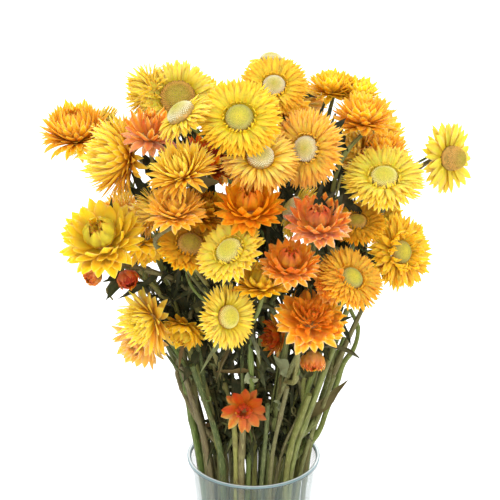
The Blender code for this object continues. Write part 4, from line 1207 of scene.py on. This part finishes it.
# Stalks against the glass: the nearest stem's own path, moved out to a spot on a ring inside the rim by a
# distance that grows from the root to the rim and goes on opening above it, and swaying a little.
def rimStalkPaths(stems, draw):
    look, count = rimStalk, rimStalk["count"]
    angles = (np.arange(count) + draw.uniform(-look["shift"], look["shift"], count)) * 2 * math.pi / count
    level = rimHeight + look["aboveRim"]
    crossing = stems[np.arange(len(stems)), np.abs(stems[..., 2] - level).argmin(axis=1)]
    spots = look["ring"] * np.stack([np.cos(angles), np.sin(angles)], axis=1)
    near = lengths(crossing[None, :, :2] - spots[:, None])
    elsewhere = np.abs(crossing[:, 2] - level) > look["level"]  # twigs don't come down to the rim
    stem = (near + elsewhere * 1000).argmin(axis=1)
    t = np.linspace(0, 1, stems.shape[1])
    made = []
    for path, end in zip(stems[stem], draw.uniform(*look["ends"], count)):
        rising = np.maximum.accumulate(path[:, 2]) + t * 1e-3
        heights = np.linspace(look["root"], min(end, rising[-1]), look["points"])
        made.append(pathAt(np.interp(heights, rising, t), t, path))
    made = np.array(made)
    grow = np.clip((made[..., 2] - look["root"]) / (level - look["root"]), 0, 1) ** look["growth"]
    grow = grow * (1 + look["open"] * np.maximum(made[..., 2] - level, 0))
    made[..., :2] += grow[..., None] * (spots - crossing[stem, :2])[:, None]
    swing = np.linspace(0, look["swayTurn"], look["points"]) + draw.uniform(0, 6, (2, count, 1))
    made[..., :2] += np.moveaxis(np.sin(swing) * look["sway"], 0, 2)
    made, long = clearOfHeads(insideGlass(made, look["thick"][1]))
    return stem[long], made[long]


# Pulls the points of paths inside the glass where they are below the rim.
def insideGlass(made, thick):
    flat = np.hypot(made[..., 0], made[..., 1])
    room = innerRadius(np.minimum(made[..., 2], rimHeight)) - thick / 2 - undergrowth["wallGap"]
    low = made[..., 2] < rimHeight + undergrowth["overRim"]
    made[..., :2] *= np.where(low, np.minimum(1, room / flat), 1)[..., None]
    return made


# Tendrils: from a spot on a stem outwards, rolled up towards the tip in a curl that gets tighter.
def tendrilPaths(spots, count, draw):
    u = undergrowth
    spot, out = rootsOn(spots, count, u["tendrilRise"], u["tendrilReach"], u["tendrilLevels"], draw)
    out = out[:, None]
    t = np.linspace(0, 1, u["points"])[:, None]
    size = draw.uniform(*u["curl"], count)[:, None, None]
    turn = draw.uniform(*u["curlTurn"], count)[:, None, None] * t ** u["tighter"]
    up = np.array([0, 0, 1])
    curl = (np.sin(turn) * out + (np.cos(turn) - 1) * up * draw.choice([-1, 1], count)[:, None, None])
    first, less = u["curlSizes"]
    return spot[:, None] + size * (curl * (first - less * t) + u["curlReach"] * t * out)


# Some of the spots: those between two levels and no further than reach from the middle, with ways out.
def rootsOn(spots, count, rise, reach, levels, draw):
    flat = np.hypot(spots[:, 0], spots[:, 1])
    spots = spots[(spots[:, 2] > levels[0]) & (spots[:, 2] < levels[1]) & (flat < reach)]
    if not len(spots):
        return np.zeros((0, 3)), np.zeros((0, 3))
    spots = spots[draw.integers(0, len(spots), count)]
    compass = draw.uniform(0, 2 * math.pi, count)
    level = np.stack([np.cos(compass), np.sin(compass)], axis=1) + 0.3 * unit(spots[:, :2] + nudge)
    return spots, unit(np.concatenate([level, draw.uniform(*rise, (count, 1))], axis=1))


# Where the picture shows light through the bunch: column, row and radius in pixels.
clearViews = [(150, 268, 13), (357, 312, 9), (190, 415, 12), (172, 362, 8), (187, 356, 8), (352, 372, 12)]


# Round sight lines that stay free of dead leaves: as far as each head, and right through the clear spots.
# Gives their directions, radii and ends.
def allFreeSights():
    toHeads = np.array([head["place"] for head in heads]) - eye["place"]
    lines = np.array([sightLine(column, row) for column, row, _ in clearViews])
    far = np.linalg.norm(crown["centre"] - eye["place"])
    radii = [head["radius"] * leafRoom["sight"] for head in heads]
    radii += [radius * far / eye["focalPixels"] for *_, radius in clearViews]
    ends = np.append(lengths(toHeads), np.full(len(lines), 2 * far))
    return np.concatenate([unit(toHeads), lines]), np.array(radii), ends


freeSights = allFreeSights()


# A leaf's midline at shares u of its length: straight along its way, bent down by its hang.
def midline(root, way, hang, length, u):
    u = u[:, None]
    return root[:, None] + length[:, None, None] * (u * way[:, None] + u**2 * hang[:, None])


# Where dead leaves stand: those that would run into a head, hide one from the picture's eye, stand in a
# clear spot, or stick out or hang down past their reach and the rim are dropped.
def drawLeaves(spots, kind, count, draw):
    root, way = rootsOn(spots, count, kind["rise"], kind["reach"], kind["levels"], draw)
    count, aside = len(root), leafRoom["aside"]
    hang = [*draw.uniform(-aside, aside, (2, count)), -draw.uniform(*leafRoom["hang"], count)]
    hang = np.stack(hang, axis=1)
    length, width = draw.uniform(*kind["lengths"], count), draw.uniform(*kind["widths"], count)
    tests = midline(root, way, hang, length, np.array([0.35, 0.7, 1]))
    centres, sizes = headBalls
    room = lengths(tests[:, :, None] - centres) - sizes
    low = max(leafRoom["low"], kind["levels"][0] - leafRoom["overhang"])
    keep = (room.min(axis=(1, 2)) > -kind["press"]) & (tests[..., 2].min(axis=1) > low)
    sights, radii, ends = freeSights
    deep = (tests - eye["place"]) @ sights.T
    off = lengths(tests[:, :, None] - eye["place"] - deep[..., None] * sights)
    keep &= ~((off < radii) & (deep < ends)).any(axis=(1, 2))
    keep &= np.hypot(tests[..., 0], tests[..., 1]).max(axis=1) < kind["reach"] + leafRoom["overhang"]
    return [array[keep] for array in (root, way, hang, length, width)]


# Leaves that the picture shows: column and row of the root, which grows on the stem that passes nearest
# there, and of the tip; then lift of the tip towards the eye, width, and place among the leaf tones.
seenLeaves = """
283 376 273 355 8 10 0.98, 264 386 248 372 8 11 0.99, 268 404 284 404 8 8 0.98, 320 434 349 379 0 10 0.86
289 426 312 409 4 4 0.9, 240 378 214 372 3 3.5 0.88, 180 262 164 240 6 5 0.6, 182 264 196 268 8 5 0.7
150 290 110 288 4 5 0.5, 160 276 116 300 2 5 0.3, 300 100 318 98 0 7 0.2, 320 120 332 106 0 7 0.1
330 130 346 118 0 8 0, 340 150 338 128 0 8 0.2, 350 180 340 160 0 7 0.3, 345 215 335 190 0 8 0.1
150 200 130 170 0 7 0.1, 160 190 148 160 0 7 0.2, 190 200 205 172 0 7 0.1, 190 210 178 186 0 8 0.3
300 215 285 190 0 7 0, 330 240 300 235 0 7 0.2, 262 270 250 255 0 8 0.1, 225 376 236 350 0 10 0.1
236 402 232 374 0 10 0.2, 250 360 240 340 0 10 0, 196 352 182 384 4 7 0.4, 190 330 178 372 2 3 0.9
182 384 198 412 4 4 0.8, 330 338 354 316 4 6 0.4, 300 205 320 190 0 10 0.1, 345 200 330 212 0 10 0.2
335 185 350 170 0 10 0, 150 205 128 186 0 10 0.1, 162 186 142 152 0 10 0.2, 205 215 212 192 0 10 0.1
330 150 322 118 0 10 0.2, 124 284 105 301 2 8 0.5, 122 276 102 282 2 6 0.3, 322 376 304 350 26 7 0.6
302 378 322 360 26 6 0.7, 215 200 220 182 0 9 0.86, 285 215 277 184 0 9 0.1, 350 215 338 174 0 10 0.1
330 215 323 180 0 10 0, 345 222 343 194 0 10 0.2, 120 205 112 196 2 5 0.5, 340 205 322 176 0 10 0
350 230 352 196 0 10 0.1, 205 205 216 180 0 9 0, 150 215 140 180 0 9 0.1, 318 130 324 104 0 9 0
"""
# The loop runs over the blade, and its points marked in under lie on the underside. Drawn and seen leaves
# differ in the most that they twist and in the range of their roll.
leafLook = dict(
    stations=8, loop=np.array([1, 0.35, -0.35, -1, 0]), under=np.array([0, 0, 0, 0, 1]),
    thick=0.35, wave=0.4, waves=11, edgeWave=0.22, outline=(0.25, 0.4, 0.35, 1.8), rollGrowth=(0.7, 0.5),
    drawn=(2.6, (1.4, 3.8)), seen=(0.9, (0.6, 1.6)),
)


# Dry leaves: the outline is rolled across by a share of a circle, and twists and waves along the blade.
# Those with a lot of their own are flatter and face the eye.
def leafSkins(root, way, hang, length, width, draw, lot=None):
    look, count = leafLook, len(root)
    u = np.linspace(0, 1, look["stations"] + 1)
    points = midline(root, way, hang, length, u)
    u = u[:-1]
    tangents = unit(way[:, None] + 2 * u[:, None] * hang[:, None])
    flat = unit(np.cross(tangents, [0, 0, 1] if lot is None else towards) + np.array([nudge, 0, 0]))
    top = np.cross(flat, tangents)
    wave = np.sin(u * look["waves"] + draw.uniform(0, 6, count)[:, None])
    turned, rolled = look["drawn" if lot is None else "seen"]
    twist = (draw.uniform(-turned, turned, count)[:, None] * u + look["wave"] * wave)[..., None]
    flat, top = np.cos(twist) * flat + np.sin(twist) * top, np.cos(twist) * top - np.sin(twist) * flat
    outline = bladeOutline(u, *look["outline"])
    half = (width[:, None] / 2 * outline * (1 - look["edgeWave"] * wave))[..., None]
    v = look["loop"]
    least, more = look["rollGrowth"]
    roll = draw.uniform(*rolled, count)[:, None, None] * (least + more * u[None, :, None])
    aside = np.sin(roll * v) / roll
    up = (1 - np.cos(roll * v)) / roll
    rings = (
        points[:, :-1, None] + flat[:, :, None] * (half * aside)[..., None]
        + top[:, :, None] * (half * up - look["under"] * look["thick"])[..., None]
    )
    lot = draw.uniform(0, 1, count) if lot is None else lot
    return sweep(rings, points[:, 0], points[:, -1], driedLeafAndShade, along=np.append(u, 1), across=v, lot=lot)


# The point of the stems that shows nearest to a pixel: its line, itself and its depth. Each millimetre
# further back counts as so many pixels off.
def carrierAt(stems, column, row, pixelsEach=0.4):
    rel = stems.reshape(-1, 3) - eye["place"]
    depth = -rel @ towards
    sides = np.stack([rel @ across, -(rel @ upright)], axis=1)
    spots = middle + sides / depth[:, None] * eye["focalPixels"]
    off = np.hypot(spots[:, 0] - column, spots[:, 1] - row)
    best = (off + pixelsEach * (depth - depth.min())).argmin()
    return best // stems.shape[1], stems.reshape(-1, 3)[best], depth[best]


# The spot seen at a pixel at a depth from the eye.
def spotAt(column, row, depth):
    line = sightLine(column, row)
    return eye["place"] + line * (depth / (-line @ towards))


# The leaves of the table, rooted on the nearest of all the stems: which stem, and each leaf's measures.
def rootedLeaves(stems):
    stem, found = [], []
    for column, row, tipColumn, tipRow, lift, width, lot in rowsOf(seenLeaves.replace(", ", "\n")):
        carrier, root, depth = carrierAt(stems, column, row)
        tip = spotAt(tipColumn, tipRow, depth - lift)
        length = np.linalg.norm(tip - root)
        stem.append(carrier)
        found.append([root, (tip - root) / length, np.zeros(3), length, width, lot])
    return np.array(stem), found


# Bent stalks that the picture shows at the sides: the thickness at both ends, then columns and rows from
# the root, which lies on the stem that passes nearest there, to the free end.
seenStalks = """
3.8 2.6 306 456 317 434 326 412 335 388 343 364 354 348 358 328 350 309
3.6 2.8 300 452 312 424 322 396 330 372 334 350 336 330
3.2 2.4 206 442 199 422 187 400 179 381 178 363 181 346
1.8 1.2 166 294 158 288 153 278 145 276 140 269
1.8 1 126 280 112 282 107 291 113 300
"""


def rootedStalks(stems):
    stem, paths, thick = [], [], []
    for bottom, top, column, row, *pixels in rowsOf(seenStalks):
        carrier, root, depth = carrierAt(stems, column, row, 0.1)
        spots = [spotAt(*pixel, depth) for pixel in zip(pixels[::2], pixels[1::2])]
        stem.append(carrier)
        paths.append(smoothLine([root, *spots], rimStalk["points"]))
        thick.append((bottom, top))
    return np.array(stem), np.array(paths), np.array(thick)


# One piece for each shoot: its stems, the leaves that the solids have, and the undergrowth on them.
def makeShoots():
    draw = np.random.default_rng(stemLook["seed"])
    lines = [[web.points[p] for p in line["points"]] for line in web.lines]
    stems = np.stack([smoothLine(line, stemLook["stations"]) for line in lines])
    thick = np.array([line["thick"] for line in web.lines]) * stemLook["slim"]
    shootOf = np.array([line["shoot"] for line in web.lines])
    carrier, outer = rimStalkPaths(stems, draw)
    leafCarrier, seen = rootedLeaves(stems)
    stalkCarrier, bent, bentThick = rootedStalks(stems)
    for number, shoot in enumerate(sorted(set(shootOf)), start=1):
        node = f"leafy_stem_{number:02d}"
        own = stems[shootOf == shoot]
        skins = [tubeSkins(own, thick[shootOf == shoot], draw)]
        mine = [leaf for leaf in leaves if leaf["shoot"] == shoot]
        if mine:
            keys = ("root", "way", "hang", "length", "width")
            skins.append(leafSkins(*(np.array([leaf[key] for leaf in mine]) for key in keys), draw))
        stalks = stalkPaths(own, max(int(undergrowth["stalks"] * len(own)), 1), draw)
        skins.append(stalkSkins(stalks, undergrowth["stalkThick"], undergrowth["stalkEnd"], draw))
        against = outer[shootOf[carrier] == shoot]
        skins.append(stalkSkins(against, rimStalk["thick"], rimStalk["end"], draw))
        carried = shootOf[stalkCarrier] == shoot
        skins.append(tubeSkins(bent[carried], bentThick[carried], draw))
        spots = np.concatenate([paths[:, 2:-2].reshape(-1, 3) for paths in (own, stalks, against)])
        tendrils = tendrilPaths(spots, max(int(undergrowth["tendrils"] * len(own)), 1), draw)
        skins.append(tubeSkins(tendrils, np.tile(undergrowth["tendrilThick"], (len(tendrils), 1)), draw))
        for kind in litter:
            skins.append(leafSkins(*drawLeaves(spots, kind, int(kind["each"] * len(own)), draw), draw))
        rooted = [leaf for leaf, stem in zip(seen, leafCarrier) if shootOf[stem] == shoot]
        if rooted:
            *sizes, lot = (np.array(column) for column in zip(*rooted))
            skins.append(leafSkins(*sizes, draw, lot))
        piece = makePiece(node.replace("_", "-"), skins, 70)
        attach(piece, "root")
        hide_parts(node)


makeShoots()
print("stems and leaves made")


# The vase: one closed profile, out from the foot's middle, up outside, over the rim and down to the floor.
def vaseProfile():
    v = vaseShape
    heel, wall, height, floor = v["heel"], v["wall"] / 2, v["height"], v["floor"]
    z = np.linspace(heel, height - wall, 40)
    arc = np.linspace(0, math.pi / 2, 6)
    lip = np.linspace(0, math.pi, 9)[1:-1]
    foot, well = v["body"] - heel, innerRadius(floor) - heel
    return np.array([
        (0, 0), *[(foot + heel * math.sin(a), heel - heel * math.cos(a)) for a in arc],
        *[(outerRadius(h), h) for h in z[1:]],
        *[(v["rim"] - wall + wall * math.cos(a), height - wall + wall * math.sin(a)) for a in lip],
        *[(innerRadius(h), h) for h in z[::-1] if h > floor + heel],
        *[(well + heel * math.cos(a), floor + heel - heel * math.sin(a)) for a in arc], (0, floor),
    ])


# Heights in metres from where a band starts to where it is full: the rounded rim, a painted dark line of
# shade under it and a painted highlight along its top. The streaks start and are full at values of their
# noise.
glassLook = dict(rim=(0.2238, 0.2241), line=(0.2229, 0.2232), lip=(0.22478, 0.22492), streaks=(0.56, 0.7))


# Clear glass: seen through where it faces the eye, greyer and less clear where it turns away, at the rim
# and in upright streaks.
def glassPaint():
    paint = Paint("clearGlass", IOR=1.47, Specular_IOR_Level=0.7)
    grazing = paint.node("LayerWeight", {}, {0: 0.5}, output="Facing")
    level = paint.node("SeparateXYZ", {}, {0: paint.place()}, output="Z")
    rim = paint.steps(level, *glassLook["rim"])
    # painted shade: a dark line just under the rim
    line = paint.steps(level, *glassLook["line"]) - rim
    # painted highlight: a bright edge along the top of the rim
    lip = paint.steps(level, *glassLook["lip"])
    stretched = paint.node("VectorMath", dict(operation="MULTIPLY"),
                           {0: paint.place(), 1: (1, 1, 0.05)})
    streaks = paint.steps(paint.noise(stretched, 90), *glassLook["streaks"])
    clear = 0.06 + 0.48 * grazing**1.5 + rim * 0.6 + line * 0.7 + streaks * 0.08
    paint.feed(paint.shader.inputs["Alpha"], clear)
    tone = paint.blend(grazing, "6c7870", "a6b8b8")
    # painted shade line under the rim
    tone = paint.blend(line, tone, "36403c")
    tone = paint.blend(rim, tone, "708c92")
    # painted highlight along the top of the rim
    tone = paint.blend(lip * 0.7, tone, "e2eaea")
    return paint.finish(tone, 0.06 + streaks * 0.1)


def makeVase():
    angles = evenAngles(vaseShape["sides"])
    around = np.stack([np.cos(angles), np.sin(angles), np.zeros_like(angles)], axis=1)
    skin = turnedSkin(vaseProfile(), around, np.array([0, 0, 1]), glassPaint())
    piece = makePiece("glass-vase", [skin], 50)
    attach(piece, "root")
    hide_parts("vase")


makeVase()
print("vase made")

# Lamps: place, what they point at, size and power.
lamps = {
    "keyLight": ((-0.35, -1.35, 1.35), (0, 0, 0.36), 1.5, 21),
    "fillLight": ((0.9, -1.2, 1), (0, 0, 0.36), 1.2, 11),
    "backLight": ((0.2, 1.3, 1.6), (0, 0, 0.36), 1.2, 9),
    "floorLight": ((0, 1.6, 1.8), (0, 1.6, 0), 2.5, 40),
}
backdrop = dict(sky=0.9, floor=12, greys=(0.93, 0.96))


def paleFloor():
    bpy.ops.mesh.primitive_plane_add(size=backdrop["floor"], location=(0, 0, 0))
    floor = bpy.context.object
    floor.name = "floor"
    paint = Paint("paleFloor", Specular_IOR_Level=0.1)
    greys = [(place, (grey, grey, grey, 1)) for place, grey in enumerate(backdrop["greys"])]
    tint = paint.node("ValToRGB", dict(stops=greys), {0: paint.noise(paint.place(), 4)})
    floor.data.materials.append(paint.finish(tint, 0.8))


def softLight(name, place, aim, size, power):
    lamp = bpy.data.lights.new(name, "AREA")
    lamp.shape = "DISK"
    lamp.size = size
    lamp.energy = power
    holder = bpy.data.objects.new(name, lamp)
    holder.location = place
    x, y, z = np.array(aim) - np.array(place)
    holder.rotation_euler = (math.acos(-z / math.hypot(x, y, z)), 0, math.atan2(y, x) - math.pi / 2)
    bpy.context.scene.collection.objects.link(holder)


def studio():
    world = bpy.data.worlds.new("softSky")
    world.use_nodes = True
    world.node_tree.nodes["Background"].inputs[0].default_value = (1, 1, 1, 1)
    world.node_tree.nodes["Background"].inputs[1].default_value = backdrop["sky"]
    bpy.context.scene.world = world
    bpy.context.scene.view_settings.view_transform = "Standard"
    for name, settings in lamps.items():
        softLight(name, *settings)


paleFloor()
studio()

print("triangles made:", sum(tally), "and at most", max(tally), "in a piece")
